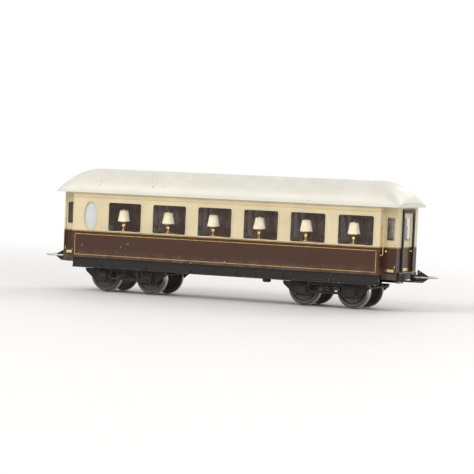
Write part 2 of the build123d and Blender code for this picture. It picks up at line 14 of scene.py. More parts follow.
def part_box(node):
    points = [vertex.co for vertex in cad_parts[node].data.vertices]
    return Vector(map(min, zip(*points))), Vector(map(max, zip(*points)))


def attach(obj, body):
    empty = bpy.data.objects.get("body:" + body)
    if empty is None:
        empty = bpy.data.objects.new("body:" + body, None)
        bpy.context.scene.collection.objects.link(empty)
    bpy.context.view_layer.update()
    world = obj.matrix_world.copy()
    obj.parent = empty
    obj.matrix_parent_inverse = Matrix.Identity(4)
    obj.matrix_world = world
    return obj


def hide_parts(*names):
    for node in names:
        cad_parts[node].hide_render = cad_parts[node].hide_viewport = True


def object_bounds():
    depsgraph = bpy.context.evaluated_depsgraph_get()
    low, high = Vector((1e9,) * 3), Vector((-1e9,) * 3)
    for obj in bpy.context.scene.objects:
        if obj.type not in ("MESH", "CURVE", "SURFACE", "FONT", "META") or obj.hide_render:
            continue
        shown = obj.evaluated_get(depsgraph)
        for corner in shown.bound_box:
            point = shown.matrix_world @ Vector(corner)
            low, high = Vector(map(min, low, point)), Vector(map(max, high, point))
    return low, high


bl_info = {
    "name": "Model Parlour Coach",
    "version": (1, 0, 0),
    "blender": (4, 5, 0),
    "location": "3D View > Sidebar > Coach",
    "description": "Paints and fits out a gauge 0 model parlour coach",
    "category": "Object",
}

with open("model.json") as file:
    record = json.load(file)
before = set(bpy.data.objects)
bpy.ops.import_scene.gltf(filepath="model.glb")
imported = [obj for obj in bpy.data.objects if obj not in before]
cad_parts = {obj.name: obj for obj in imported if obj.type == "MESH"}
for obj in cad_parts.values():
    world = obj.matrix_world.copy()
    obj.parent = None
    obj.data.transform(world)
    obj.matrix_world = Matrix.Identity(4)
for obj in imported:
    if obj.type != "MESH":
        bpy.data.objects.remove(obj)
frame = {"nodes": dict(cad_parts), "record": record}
cad_low, cad_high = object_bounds()

mm = 0.001
body = "coach_body"
ends = (("front", 1), ("rear", -1))
sides = (("left", 1), ("right", -1))
axles = ("outer", "inner")
both_ways = (1, -1)

# Places read from the frame
side_low, side_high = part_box("side_right")
glass_low, glass_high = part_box("saloon_glazing_right")
floor_low, floor_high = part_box("floor_plate")
partition_low, partition_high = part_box("saloon_partition")
lamp_low, lamp_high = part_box("table_lamps")
shade_low, shade_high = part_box("lamp_shades")
table_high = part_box("tables")[1]
chair_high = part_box("armchairs")[1]

# The saloon's windows, in a row of equal bays
glass_lap = 1.6 * mm
window_count = 6
window_width = 30.0 * mm
window_first = glass_low.x + glass_lap + window_width / 2
window_pitch = (glass_high.x - glass_low.x - 2 * glass_lap - window_width) / (window_count - 1)
window_row = window_pitch * (window_count - 1)
window_xs = [window_first + i * window_pitch for i in range(window_count)]
window_sill = glass_low.z + glass_lap
window_top = glass_high.z - glass_lap
bead_width = 0.9 * mm
waist_z = window_sill - 1.3 * bead_width
cantrail_z = window_top + 4.0 * mm


def colour_setting(name, description, *rgb):
    return bpy.props.FloatVectorProperty(
        name=name, description=description, subtype="COLOR", size=4, min=0, max=1, default=(*rgb, 1)
    )


def number_setting(name, description, default, least=0, **kind):
    return bpy.props.FloatProperty(
        name=name, description=description, min=least, default=default, **kind
    )


def length_setting(name, description, default, least=0):
    return number_setting(name, description, default, least, unit="LENGTH")


def power_setting(name, description, default):
    return number_setting(name, description, default, unit="POWER")


def count_setting(name, description, default, least, most):
    return bpy.props.IntProperty(
        name=name, description=description, min=least, max=most, default=default
    )


def angle_setting(name, description, degrees):
    return bpy.props.FloatProperty(
        name=name, description=description, subtype="ANGLE", default=math.radians(degrees)
    )


class CoachPaint(bpy.types.PropertyGroup):
    """Colours of the coach's finishes."""

    cream: colour_setting("Cream", "Paint above the waist", 0.70, 0.60, 0.385)
    umber: colour_setting("Umber", "Paint below the waist", 0.054, 0.018, 0.006)
    gold: colour_setting("Lining", "Fine lines on the sides", 0.62, 0.40, 0.10)
    roof: colour_setting("Roof", "Off-white of the roof", 0.70, 0.68, 0.60)
    stain: colour_setting("Roof stains", "Soft stains on the roof", 0.50, 0.44, 0.33)
    scratch: colour_setting("Roof scratches", "Fine scratches on the roof", 0.46, 0.43, 0.36)
    primer: colour_setting("Roof chips", "What shows where the roof is chipped", 0.26, 0.23, 0.20)
    black: colour_setting("Underframe", "Black of the underframe and bogies", 0.017, 0.016, 0.015)
    tin: colour_setting("Bare tin", "Metal where paint has worn off", 0.60, 0.58, 0.54)
    dust: colour_setting("Dust", "Dust that lies on top", 0.34, 0.30, 0.25)
    blackened: colour_setting("Blackened metal", "Faces of the wheels", 0.10, 0.095, 0.088)
    steel: colour_setting("Steel", "Bright steel of treads, axles and wire", 0.40, 0.385, 0.36)
    rust: colour_setting("Rust", "Faint rust on steel", 0.16, 0.075, 0.035)
    brass: colour_setting("Brass", "Handrails, handles and lamps", 0.74, 0.53, 0.22)
    wood_light: colour_setting("Light wood", "Lighter figure of the wood", 0.24, 0.085, 0.028)
    wood_dark: colour_setting("Dark wood", "Darker figure of the wood", 0.070, 0.020, 0.008)
    chair: colour_setting("Armchairs", "Green of the moulded armchairs", 0.10, 0.14, 0.085)
    shade: colour_setting("Lampshades", "Cream of the pleated shades", 0.86, 0.77, 0.56)
    scorch: colour_setting("Scorched paper", "Top of the shades, browned", 0.52, 0.33, 0.13)
    glass_tint: colour_setting("Glass", "Tint of the panes", 0.96, 0.965, 0.96)
    smear: colour_setting("Smears", "Tint of the panes where smeared", 0.86, 0.86, 0.83)


class CoachSizes(bpy.types.PropertyGroup):
    """Sizes of the fittings."""

    edge_round: length_setting("Edge rounding", "How far the paint rounds an edge", 0.25 * mm)
    lining_width: length_setting("Lining width", "Width of a painted line", 0.5 * mm)
    rivet_radius: length_setting("Rivet radius", "Radius of a rivet's head", 0.45 * mm)
    rail_radius: length_setting("Handrail radius", "Radius of the handrail wire", 0.45 * mm)
    rail_bend: length_setting("Handrail bend", "Inside radius of a handrail's bends", 0.9 * mm)
    loop_bend: length_setting("Loop bend", "Radius of the coupling loop's corners", 1.8 * mm)
    pleats: count_setting("Pleats", "Pleats in a lampshade", 36, 8, 80)
    pleat_depth: length_setting("Pleat depth", "Depth of a pleat", 0.22 * mm)
    leaf_count: count_setting("Spring leaves", "Leaves in half of a bogie spring", 4, 2, 6)


class CoachStage(bpy.types.PropertyGroup):
    """Camera and light."""

    azimuth: angle_setting("Azimuth", "How far round towards the front end the camera stands", 23.0)
    elevation: angle_setting("Elevation", "How far above level the camera stands", 2.0)
    roll: angle_setting("Roll", "Turn of the camera about its own line of sight", 2.4)
    distance: length_setting("Distance", "From the camera to the coach's middle", 1.75, 0.2)
    framed_width: length_setting(
        "Framed width", "Width of the picture at the coach's middle", 0.395, 0.1
    )
    key_power: power_setting("Key lamp", "Power of the main lamp", 15.0)
    fill_power: power_setting("Fill lamp", "Power of the fill lamp", 7.0)
    back_power: power_setting("Back lamp", "Power of the lamp behind", 8.0)
    sky: number_setting("Sky", "Strength of the light from all round", 0.62)
    floor: colour_setting("Floor", "Pale floor", 0.80, 0.79, 0.77)


# Node trees


class Value:
    """What a socket puts out. Sums and products of such values become Math nodes."""

    def __init__(self, socket):
        self.socket = socket
        self.tree = socket.id_data

    def __add__(self, other):
        return maths("ADD", self, other)

    def __sub__(self, other):
        return maths("SUBTRACT", self, other)

    def __rsub__(self, other):
        return maths("SUBTRACT", other, self)

    def __mul__(self, other):
        return maths("MULTIPLY", self, other)

    def __abs__(self):
        return maths("ABSOLUTE", self)


def feed(socket, value):
    """Links a value to a socket, or sets the socket to a plain number or colour."""
    if isinstance(value, Value):
        value.tree.links.new(value.socket, socket)
    else:
        socket.default_value = value


def add_node(tree, kind, inputs=(), **settings):
    node = tree.nodes.new(kind)
    for name, value in settings.items():
        setattr(node, name, value)
    for key, value in dict(inputs).items():
        feed(node.inputs[key], value)
    return node


def maths(operation, *values):
    """A Math node in the tree that the values belong to."""
    tree = next(value.tree for value in values if isinstance(value, Value))
    node = add_node(tree, "ShaderNodeMath", enumerate(values), operation=operation)
    return Value(node.outputs[0])


def larger(first, second):
    return maths("MAXIMUM", first, second)


def vector_maths(operation, *values, output="Vector"):
    tree = values[0].tree
    node = add_node(tree, "ShaderNodeVectorMath", enumerate(values), operation=operation)
    return Value(node.outputs[output])


def mix(tree, factor, first, second, blend_type="MIX"):
    """Mixes two colours."""
    node = add_node(
        tree, "ShaderNodeMix", data_type="RGBA", blend_type=blend_type, clamp_result=True
    )
    for index, value in ((0, factor), (6, first), (7, second)):
        feed(node.inputs[index], value)
    return Value(node.outputs[2])


def ramp(value, low, high, out_low=0.0, out_high=1.0):
    """Runs smoothly from out_low to out_high as the value goes from low to high."""
    limits = {"From Min": low, "From Max": high, "To Min": out_low, "To Max": out_high}
    node = add_node(
        value.tree, "ShaderNodeMapRange", {"Value": value, **limits},
        interpolation_type="SMOOTHSTEP",
    )
    return Value(node.outputs["Result"])


def reading(tree, kind, name):
    """What a node that has nothing to set puts out."""
    return Value(tree.nodes.new(kind).outputs[name])


def place(tree):
    """The place on the coach at rest, as a vector."""
    return reading(tree, "ShaderNodeTexCoord", "Object")


def split(vector):
    """The X, Y and Z of a vector."""
    node = add_node(vector.tree, "ShaderNodeSeparateXYZ", {"Vector": vector})
    return [Value(socket) for socket in node.outputs]


def noise(tree, scale, detail, roughness, vector=None):
    vector = vector or place(tree)
    look = {"Vector": vector, "Scale": scale, "Detail": detail, "Roughness": roughness}
    return Value(add_node(tree, "ShaderNodeTexNoise", look).outputs[0])


def new_group(name, inputs, outputs, wire):
    """A node group with named sockets. The function wires it and gives what it puts out."""
    group = bpy.data.node_groups.new(name, "ShaderNodeTree")
    for label, kind, value in inputs:
        socket = group.interface.new_socket(label, in_out="INPUT", socket_type=kind)
        socket.default_value = value
    for label, kind in outputs:
        group.interface.new_socket(label, in_out="OUTPUT", socket_type=kind)
    come_in = group.nodes.new("NodeGroupInput").outputs
    go_out = group.nodes.new("NodeGroupOutput").inputs
    made = wire(group, *[Value(come_in[row[0]]) for row in inputs])
    for row, value in zip(outputs, made):
        feed(go_out[row[0]], value)
    return group


def shared_effect(name, inputs, outputs):
    """Turns a function that wires nodes into one that places them as a group, built once."""

    def wrap(wire):
        def place_effect(tree, **values):
            group = bpy.data.node_groups.get(name) or new_group(name, inputs, outputs, wire)
            node = add_node(tree, "ShaderNodeGroup", node_tree=group)
            for key, value in values.items():
                feed(node.inputs[key.title()], value)
            made = [Value(socket) for socket in node.outputs]
            return made if len(made) > 1 else made[0]

        return place_effect

    return wrap


FLOAT = "NodeSocketFloat"
COLOUR = "NodeSocketColor"
VECTOR = "NodeSocketVector"
MASK = (("Mask", FLOAT),)


@shared_effect(
    "Worn Edges",
    (("Width", FLOAT, 0.25 * mm), ("Patches", FLOAT, 180.0), ("Wear", FLOAT, 0.5)),
    (("Mask", FLOAT), ("Normal", VECTOR)),
)
def worn_edges(tree, width, patches, wear):
    """Marks sharp edges in patches, and gives a normal that rounds them."""
    bevel = add_node(tree, "ShaderNodeBevel", {"Radius": width}, samples=4)
    rounded = Value(bevel.outputs["Normal"])
    flat = reading(tree, "ShaderNodeNewGeometry", "Normal")
    edge = ramp(vector_maths("DOT_PRODUCT", rounded, flat, output="Value"), 0.985, 0.86)
    threshold = ramp(wear, 0.0, 1.0, 0.75, 0.35)
    worn = ramp(noise(tree, patches, 5.0, 0.65) - threshold, -0.02, 0.06)
    return edge * worn, rounded


@shared_effect("Chips", (("Scale", FLOAT, 260.0), ("Amount", FLOAT, 0.3)), MASK)
def paint_chips(tree, scale, amount):
    """Small scattered chips in paint."""
    fine = noise(tree, scale, 6.0, 0.7)
    broad = noise(tree, scale * 0.12, 2.0, 0.5)
    threshold = ramp(amount, 0.0, 1.0, 1.02, 0.80)
    return [ramp(fine + broad * 0.35 - threshold, 0.0, 0.015)]


@shared_effect("Dust", (("Amount", FLOAT, 0.4), ("Scale", FLOAT, 90.0)), MASK)
def fallen_dust(tree, amount, scale):
    """Dust on what faces up, thicker in patches."""
    up = split(reading(tree, "ShaderNodeNewGeometry", "Normal"))[2]
    patches = ramp(noise(tree, scale, 6.0, 0.62), 0.30, 0.72)
    return [ramp(up, 0.25, 0.95) * patches * amount]


@shared_effect(
    "Mottle",
    (("Scale", FLOAT, 60.0), ("Low", FLOAT, 0.0), ("High", FLOAT, 1.0)),
    (("Value", FLOAT),),
)
def mottle(tree, scale, low, high):
    """A value that drifts between two limits over the surface."""
    return [ramp(noise(tree, scale, 5.0, 0.6), 0.3, 0.7, low, high)]


@shared_effect(
    "Brushing",
    (("Stretch", VECTOR, (40.0, 900.0, 900.0)), ("Density", FLOAT, 0.5)),
    (("Mask", FLOAT), ("Height", FLOAT)),
)
def brushing(tree, stretch, density):
    """Fine scratches drawn out along one direction, as a mask and a height."""
    lines = noise(tree, 1.0, 3.0, 0.7, vector_maths("MULTIPLY", place(tree), stretch))
    return ramp(lines - ramp(density, 0.0, 1.0, 0.72, 0.45), 0.0, 0.05), lines


@shared_effect(
    "Wood Grain",
    (
        ("Light", COLOUR, (0.2, 0.08, 0.03, 1)), ("Dark", COLOUR, (0.05, 0.02, 0.01, 1)),
        ("Scale", FLOAT, 160.0), ("Stretch", VECTOR, (1.0, 1.0, 0.15)),
    ),
    (("Colour", COLOUR), ("Height", FLOAT)),
)
def wood_grain(tree, light, dark, scale, stretch):
    """Figured wood: bands warped by noise, with fine pores along them."""
    drawn = vector_maths("MULTIPLY", place(tree), stretch)
    look = {"Vector": drawn, "Scale": scale, "Distortion": 7.0, "Detail": 3.0, "Detail Scale": 0.5}
    wave = add_node(
        tree, "ShaderNodeTexWave", look, wave_type="BANDS", bands_direction="DIAGONAL"
    )
    pores = noise(tree, scale * 8.0, 3.0, 0.6, drawn)
    flecks = noise(tree, scale * 2.6, 5.0, 0.6, drawn)
    bands = ramp(Value(wave.outputs["Fac"]) * 0.4 + flecks, 0.35, 0.95)
    figure = bands * ramp(pores, 0.25, 0.6, 0.65, 1.0)
    return mix(tree, figure, dark, light), figure


@shared_effect(
    "Painted Line",
    (("Coordinate", FLOAT, 0.0), ("Centre", FLOAT, 0.0), ("Width", FLOAT, 0.5 * mm)),
    MASK,
)
def painted_line(tree, coordinate, centre, width):
    """A line of paint where a coordinate is near a set value."""
    half = width * 0.5
    return [ramp(abs(coordinate - centre), half * 1.2, half * 0.8)]


# Materials


def new_material(name):
    """An empty material with its Principled shader."""
    material = bpy.data.materials.new(name)
    material.use_nodes = True
    tree = material.node_tree
    tree.nodes.clear()
    shader = tree.nodes.new("ShaderNodeBsdfPrincipled")
    tree.nodes.new("ShaderNodeOutputMaterial")
    show(tree, shader)
    return material, tree, shader


def show(tree, shader):
    """Makes a shader the one that the material shows."""
    sink = next(node for node in tree.nodes if node.type == "OUTPUT_MATERIAL")
    feed(sink.inputs["Surface"], Value(shader.outputs[0]))


def show_both(tree, factor, first, second):
    """Shows the second shader over the first, as far as the factor says."""
    shaders = {0: factor, 1: Value(first.outputs[0]), 2: Value(second.outputs[0])}
    show(tree, add_node(tree, "ShaderNodeMixShader", shaders))


def finish_surface(shader, tone, roughness, height, depth, normal=None, metallic=0.0, plain=()):
    """Wires colour, roughness and a bump of the given depth, and sets the plain values."""
    bump = add_node(
        shader.id_data, "ShaderNodeBump", {"Height": height, "Distance": depth, "Strength": 1.0}
    )
    if normal:
        feed(bump.inputs["Normal"], normal)
    wired = {
        "Base Color": tone, "Roughness": roughness, "Metallic": metallic,
        "Normal": Value(bump.outputs["Normal"]),
    }
    for key, value in {**wired, **dict(plain)}.items():
        feed(shader.inputs[key], value)


def drifting(tree, tone, scale, low):
    """A colour that darkens a little in broad patches."""
    grey = add_node(tree, "ShaderNodeCombineColor")
    drift = mottle(tree, scale=scale, low=low, high=1.0)
    for socket in grey.inputs:
        feed(socket, drift)
    return mix(tree, 1.0, tone, Value(grey.outputs["Color"]), "MULTIPLY")


def edge_wear(tree, patches, wear):
    """Mask and normal of worn edges, at the rounding that is set."""
    width = bpy.context.scene.coach_sizes.edge_round
    return worn_edges(tree, width=width, patches=patches, wear=wear)


def side_lining(tree, x, z, width):
    """Mask of the fine lines: one along the waist, one on the cantrail, a frame on each side."""
    panel_low = side_low.z + 2.4 * mm
    panel_high = waist_z - 2.6 * mm
    up = abs(z - (panel_low + panel_high) / 2) - (panel_high - panel_low) / 2
    along = abs(x) - (side_high.x - 2.6 * mm)
    waist = painted_line(tree, coordinate=z, centre=waist_z, width=width)
    cantrail = painted_line(tree, coordinate=z, centre=cantrail_z, width=width)
    panel = painted_line(tree, coordinate=larger(up, along), centre=0.0, width=width)
    return larger(larger(waist, cantrail), panel)


def coach_paint(name, paint):
    """Two colours parted at the waist, lined in gold, worn to the tin at edges."""
    material, tree, shader = new_material(name)
    x, _, z = split(place(tree))
    parting = waist_z + bead_width / 2
    tone = mix(tree, ramp(z, parting, parting + 0.1 * mm), paint.umber, paint.cream)
    tone = drifting(tree, tone, 35.0, 0.86)
    lines = side_lining(tree, x, z, bpy.context.scene.coach_sizes.lining_width)
    tone = mix(tree, lines * mottle(tree, scale=210.0, low=0.55, high=0.95), tone, paint.gold)
    grime = ramp(z, side_low.z + 9 * mm, side_low.z) * mottle(tree, scale=120.0)
    settled = larger(fallen_dust(tree, amount=0.55, scale=120.0), grime * 0.16)
    tone = mix(tree, settled, tone, paint.dust)
    hairlines = brushing(tree, stretch=(70.0, 1800.0, 1800.0), density=0.25)[0]
    tone = mix(tree, hairlines * 0.10, tone, paint.dust)
    worn, rounded = edge_wear(tree, 170.0, 0.42)
    bare = larger(worn, paint_chips(tree, scale=420.0, amount=0.62))
    tone = mix(tree, bare, tone, paint.tin)
    roughness = mottle(tree, scale=90.0, low=0.37, high=0.46) + settled * 0.45
    peel = noise(tree, 2400.0, 2.0, 0.5) * 0.12
    waves = noise(tree, 45.0, 1.0, 0.4) * 3.0
    gloss = {"Specular IOR Level": 0.35, "Coat Weight": 0.10, "Coat Roughness": 0.12}
    height = peel + waves - bare * 0.3
    finish_surface(shader, tone, roughness, height, 0.03 * mm, rounded, bare * 0.85, gloss)
    return material


def plain_paint(name, paint, colour, low, high, dusty, wear, peel_depth):
    """One colour of paint with drift, dust, chips and worn edges."""
    material, tree, shader = new_material(name)
    tone = drifting(tree, getattr(paint, colour), 42.0, 0.84)
    dust = fallen_dust(tree, amount=dusty, scale=75.0)
    tone = mix(tree, dust, tone, paint.dust)
    worn, rounded = edge_wear(tree, 230.0, wear)
    bare = larger(worn, paint_chips(tree, scale=420.0, amount=0.4 + wear * 0.4))
    tone = mix(tree, bare, tone, paint.tin)
    roughness = mottle(tree, scale=110.0, low=low, high=high) + dust * 0.35
    height = noise(tree, 1500.0, 3.0, 0.55) * 0.4 - bare * 0.4
    gloss = {"Specular IOR Level": 0.3}
    finish_surface(shader, tone, roughness, height, peel_depth, rounded, bare * 0.8, gloss)
    return material


def roof_paint(name, paint):
    """Off-white roof, greyer and stained in soft patches, with dust on top."""
    material, tree, shader = new_material(name)
    tone = drifting(tree, paint.roof, 16.0, 0.94)
    stains = ramp(noise(tree, 55.0, 7.0, 0.7), 0.56, 0.74)
    tone = mix(tree, stains * 0.22, tone, paint.stain)
    dust = fallen_dust(tree, amount=0.20, scale=60.0)
    tone = mix(tree, dust, tone, paint.dust)
    scratches = brushing(tree, stretch=(45.0, 1500.0, 1500.0), density=0.30)[0]
    tone = mix(tree, scratches * 0.35, tone, paint.scratch)
    worn, rounded = edge_wear(tree, 120.0, 0.35)
    bare = larger(worn, paint_chips(tree, scale=380.0, amount=0.66))
    tone = mix(tree, bare, tone, paint.primer)
    roughness = mottle(tree, scale=80.0, low=0.34, high=0.55) + dust * 0.5
    peel = noise(tree, 1800.0, 2.0, 0.5) * 0.15
    waves = noise(tree, 35.0, 1.0, 0.4) * 4.0
    finish_surface(shader, tone, roughness, peel + waves - bare * 0.3, 0.035 * mm, rounded)
    return material


def bare_metal(name, paint, colour, low, high, rusty, stretch):
    """Brushed metal with drifting roughness and a little rust or tarnish."""
    material, tree, shader = new_material(name)
    lines, drawn = brushing(tree, stretch=stretch, density=0.5)
    spots = ramp(noise(tree, 260.0, 7.0, 0.7), 0.52, 0.74) * rusty
    tone = mix(tree, lines * 0.25, getattr(paint, colour), paint.rust)
    tone = mix(tree, spots, tone, paint.rust)
    roughness = mottle(tree, scale=150.0, low=low, high=high) + spots * 0.5
    metallic = 1.0 - spots * 0.7
    rounded = edge_wear(tree, 300.0, 0.6)[1]
    finish_surface(shader, tone, roughness, drawn + spots, 0.012 * mm, rounded, metallic)
    return material


def varnished_wood(name, paint, scale, brighten, stretch):
    """Figured wood under a coat of varnish, lighter where its edges are worn."""
    material, tree, shader = new_material(name)
    light = [min(1.0, c * brighten) for c in paint.wood_light[:3]] + [1]
    dark = [min(1.0, c * brighten) for c in paint.wood_dark[:3]] + [1]
    grain, height = wood_grain(tree, light=light, dark=dark, scale=scale, stretch=stretch)
    worn, rounded = edge_wear(tree, 200.0, 0.4)
    tone = mix(tree, worn * 0.5, grain, light)
    roughness = mottle(tree, scale=120.0, low=0.18, high=0.34)
    varnish = {"Coat Weight": 0.4, "Coat Roughness": 0.1}
    finish_surface(shader, tone, roughness, height, 0.01 * mm, rounded, plain=varnish)
    return material


def pleated_paper(name, paint):
    """Paper of the lampshades, browned towards the top."""
    material, tree, shader = new_material(name)
    tone = drifting(tree, paint.shade, 180.0, 0.86)
    z = split(place(tree))[2]
    scorched = ramp(z, shade_high.z - 3 * mm, shade_high.z, 0.0, 0.35)
    tone = mix(tree, scorched, tone, paint.scorch)
    fibre = noise(tree, 2600.0, 3.0, 0.6)
    glow = {
        "Subsurface Weight": 0.25, "Subsurface Radius": (0.9, 0.7, 0.4),
        "Subsurface Scale": 1.0 * mm,
    }
    roughness = ramp(fibre, 0.2, 0.8, 0.65, 0.85)
    finish_surface(shader, tone, roughness, fibre, 0.02 * mm, plain=glow)
    return material


def window_pane(name, paint, low, high, transmission, clear):
    """Glass that lets the lamps through, with faint smears."""
    material, tree, shader = new_material(name)
    smears = noise(tree, 70.0, 6.0, 0.7)
    tone = mix(tree, ramp(smears, 0.5, 0.8), paint.glass_tint, paint.smear)
    roughness = ramp(smears, 0.35, 0.75, low, high)
    waves = noise(tree, 45.0, 1.0, 0.4)
    glass = {"Transmission Weight": transmission, "IOR": 1.3}
    finish_surface(shader, tone, roughness, waves, 0.05 * mm, plain=glass)
    through = add_node(tree, "ShaderNodeBsdfTransparent", {"Color": (clear, clear, clear, 1)})
    show_both(tree, reading(tree, "ShaderNodeLightPath", "Is Shadow Ray"), shader, through)
    return material


# What finishes each material slot of the record: the function, then its own values
finishes = {
    "coach_paint": (coach_paint,),
    "roof_paint": (roof_paint,),
    "shade_paper": (pleated_paper,),
    # Colour, lowest and highest roughness, dust, wear, depth of the surface
    "underframe_paint": (plain_paint, "black", 0.32, 0.48, 0.5, 0.45, 0.03 * mm),
    "bogie_paint": (plain_paint, "black", 0.40, 0.58, 0.6, 0.5, 0.06 * mm),
    "coupling_steel": (plain_paint, "black", 0.30, 0.5, 0.3, 0.75, 0.02 * mm),
    "chair_paint": (plain_paint, "chair", 0.55, 0.75, 0.3, 0.2, 0.04 * mm),
    # Colour, lowest and highest roughness, rust, how the brushing is drawn out
    "wheel_metal": (bare_metal, "blackened", 0.42, 0.6, 0.45, (500.0, 500.0, 500.0)),
    "bright_steel": (bare_metal, "steel", 0.20, 0.36, 0.3, (900.0, 60.0, 900.0)),
    "lamp_brass": (bare_metal, "brass", 0.16, 0.30, 0.15, (500.0, 500.0, 80.0)),
    # Lowest and highest roughness, how clear it is to the eye and to the lamps
    "window_glass": (window_pane, 0.0, 0.012, 1.0, 0.92),
    "frosted_glass": (window_pane, 0.42, 0.55, 0.6, 0.75),
    # Scale of the figure, how much lighter, how the figure is drawn out
    "panelling": (varnished_wood, 300.0, 1.0, (1.0, 1.0, 0.12)),
    "table_wood": (varnished_wood, 380.0, 1.4, (0.12, 1.0, 1.0)),
}
materials = {}


def material_of(slot):
    """The material for a slot of the record, made when it is first asked for."""
    if slot not in materials:
        make, *values = finishes[slot]
        materials[slot] = make(slot, bpy.context.scene.coach_paint, *values)
    return materials[slot]


def paint_nodes(*slots):
    """Gives every shown node of these slots its material."""
    for part in frame["record"]["subparts"]:
        if part["material_slot"] in slots:
            mesh = frame["nodes"][part["node"]].data
            mesh.materials.clear()
            mesh.materials.append(material_of(part["material_slot"]))


# Shapes. Each function gives a new bmesh, and stamp copies it to where it belongs


def circle(radius, count):
    turns = [math.tau * k / count for k in range(count)]
    return [(radius * math.cos(a), radius * math.sin(a)) for a in turns]


def skin(shape, rings):
    """Joins each ring of points to the next with faces. A ring may be a single point."""
    count = max(len(ring) for ring in rings)
    for low, high in zip(rings, rings[1:]):
        for k in range(count):
            j = k + 1
            corners = (
                low[k % len(low)], low[j % len(low)], high[j % len(high)], high[k % len(high)],
            )
            corners = list(dict.fromkeys(corners))
            if len(corners) > 2:
                shape.faces.new(corners)


def lathe(profile, segments):
    """Turns a profile of (radius, height) about Z. A radius of 0 is a point on the axis."""
    shape = bmesh.new()
    rings = []
    for radius, z in profile:
        spots = circle(radius, segments) if radius else [(0, 0)]
        rings.append([shape.verts.new((x, y, z)) for x, y in spots])
    skin(shape, rings)
    return shape


def scaled(profile):
    """A profile given in millimetres, in metres."""
    return [(r * mm, z * mm) for r, z in profile]


def turned(segments, *profile):
    """Turns a profile given in millimetres."""
    return lathe(scaled(profile), segments)


def soften(shape, edges, rounding, steps=2):
    bmesh.ops.bevel(
        shape, geom=edges, offset=rounding, segments=steps, profile=0.5, affect="EDGES"
    )


def block(size, rounding, steps=2):
    """A box about the origin, with rounded edges."""
    shape = bmesh.new()
    bmesh.ops.create_cube(shape, size=1.0, matrix=Matrix.Diagonal((*size, 1.0)))
    soften(shape, shape.edges[:], rounding, steps)
    return shape


def plate(outline, thickness, rounding):
    """A flat plate in XY with the given outline, its middle at z = 0 and its rims rounded."""
    shape = bmesh.new()
    low, high = (
        [shape.verts.new((x, y, z)) for x, y in outline] for z in (-thickness / 2, thickness / 2)
    )
    shape.faces.new(list(reversed(low)))
    shape.faces.new(high)
    skin(shape, [low, high])
    rims = [e for e in shape.edges if e.verts[0].co.z == e.verts[1].co.z]
    soften(shape, rims, rounding)
    return shape


def rounded_corners(points, radius, steps=6, closed=False):
    """The points of a line with its corners turned into arcs."""
    count = len(points)
    out = []
    for k, point in enumerate(points):
        point = Vector(point)
        if not closed and k in (0, count - 1):
            out.append(point)
            continue
        before = (Vector(points[k - 1]) - point).normalized()
        after = (Vector(points[(k + 1) % count]) - point).normalized()
        half_angle = before.angle(after) / 2
        start = point + before * (radius / math.tan(half_angle))
        stop = point + after * (radius / math.tan(half_angle))
        centre = point + (before + after).normalized() * (radius / math.sin(half_angle))
        for i in range(steps + 1):
            spot = start.lerp(stop, i / steps) - centre
            out.append(centre + spot.normalized() * radius)
    return out


def swept(points, section, up, closed=False):
    """Sweeps a section of (across, up) along the points; up stays the given direction."""
    shape = bmesh.new()
    count = len(points)
    rings = []
    for k, point in enumerate(points):
        if closed:
            ahead = points[(k + 1) % count] - points[k - 1]
        else:
            ahead = points[min(k + 1, count - 1)] - points[max(k - 1, 0)]
        across = ahead.cross(up).normalized()
        rise = across.cross(ahead).normalized()
        rings.append([shape.verts.new(point + across * a + rise * b) for a, b in section])
    if closed:
        skin(shape, rings + rings[:1])
    else:
        skin(shape, rings)
        shape.faces.new(list(reversed(rings[0])))
        shape.faces.new(rings[-1])
    bmesh.ops.recalc_face_normals(shape, faces=shape.faces[:])
    return shape


def rounded_rectangle(width, height, radius, steps=5):
    """The outline of a rectangle with round corners, about the origin."""
    out = []
    for cx, cy, first in ((1, 1, 0), (-1, 1, 1), (-1, -1, 2), (1, -1, 3)):
        for i in range(steps + 1):
            a = math.pi / 2 * (first + i / steps)
            x = cx * (width / 2 - radius) + radius * math.cos(a)
            y = cy * (height / 2 - radius) + radius * math.sin(a)
            out.append((x, y))
    return out


def window_rim(width, height, corner, rim, thickness):
    """A flat frame round an opening, in XY, standing from z = 0 up."""
    shape = bmesh.new()
    rings = []
    # Columns: share of the rim's width, share of its thickness
    for out, up in ((1, 0), (1, 0.6), (0.7, 1), (0.3, 1), (0, 0.6), (0, 0)):
        grow = rim * out
        outline = rounded_rectangle(width + 2 * grow, height + 2 * grow, corner + grow)
        rings.append([shape.verts.new((x, y, thickness * up)) for x, y in outline])
    skin(shape, rings + rings[:1])
    return shape


def rivet(radius):
    """A low domed head, closed a little below z = 0."""
    steps = 4
    turns = [math.pi / 2 * k / steps for k in range(steps)]
    dome = [(radius * math.cos(a), 0.6 * radius * math.sin(a)) for a in turns]
    base = -0.1 * radius
    return lathe([(0, base), (radius, base), *dome, (0, 0.6 * radius)], 12)


def stamp(target, shape, matrix=Matrix.Identity(4), material=0):
    """Copies a shape into the target, moved by the matrix."""
    shape.verts.index_update()
    copies = [target.verts.new(matrix @ v.co) for v in shape.verts]
    mirrored = matrix.to_3x3().determinant() < 0
    for face in shape.faces:
        corners = [copies[v.index] for v in face.verts]
        if mirrored:
            corners.reverse()
        target.faces.new(corners).material_index = material or face.material_index


def at(x, y, z, turn=None):
    """A move to a place, after an optional turn."""
    move = Matrix.Translation((x, y, z))
    return move @ turn if turn else move


def along_x(sign):
    """A turn that stands a shape's Z along X, one way or the other."""
    return Matrix.Rotation(sign * math.pi / 2, 4, "Y")


def along_y(sign):
    """A turn that stands a shape's Z along Y, one way or the other."""
    return Matrix.Rotation(-sign * math.pi / 2, 4, "X")


upside_down = Matrix.Rotation(math.pi, 4, "X")


def middle_of(low, high):
    """The middle of a box."""
    return [(a + b) / 2 for a, b in zip(low, high)]


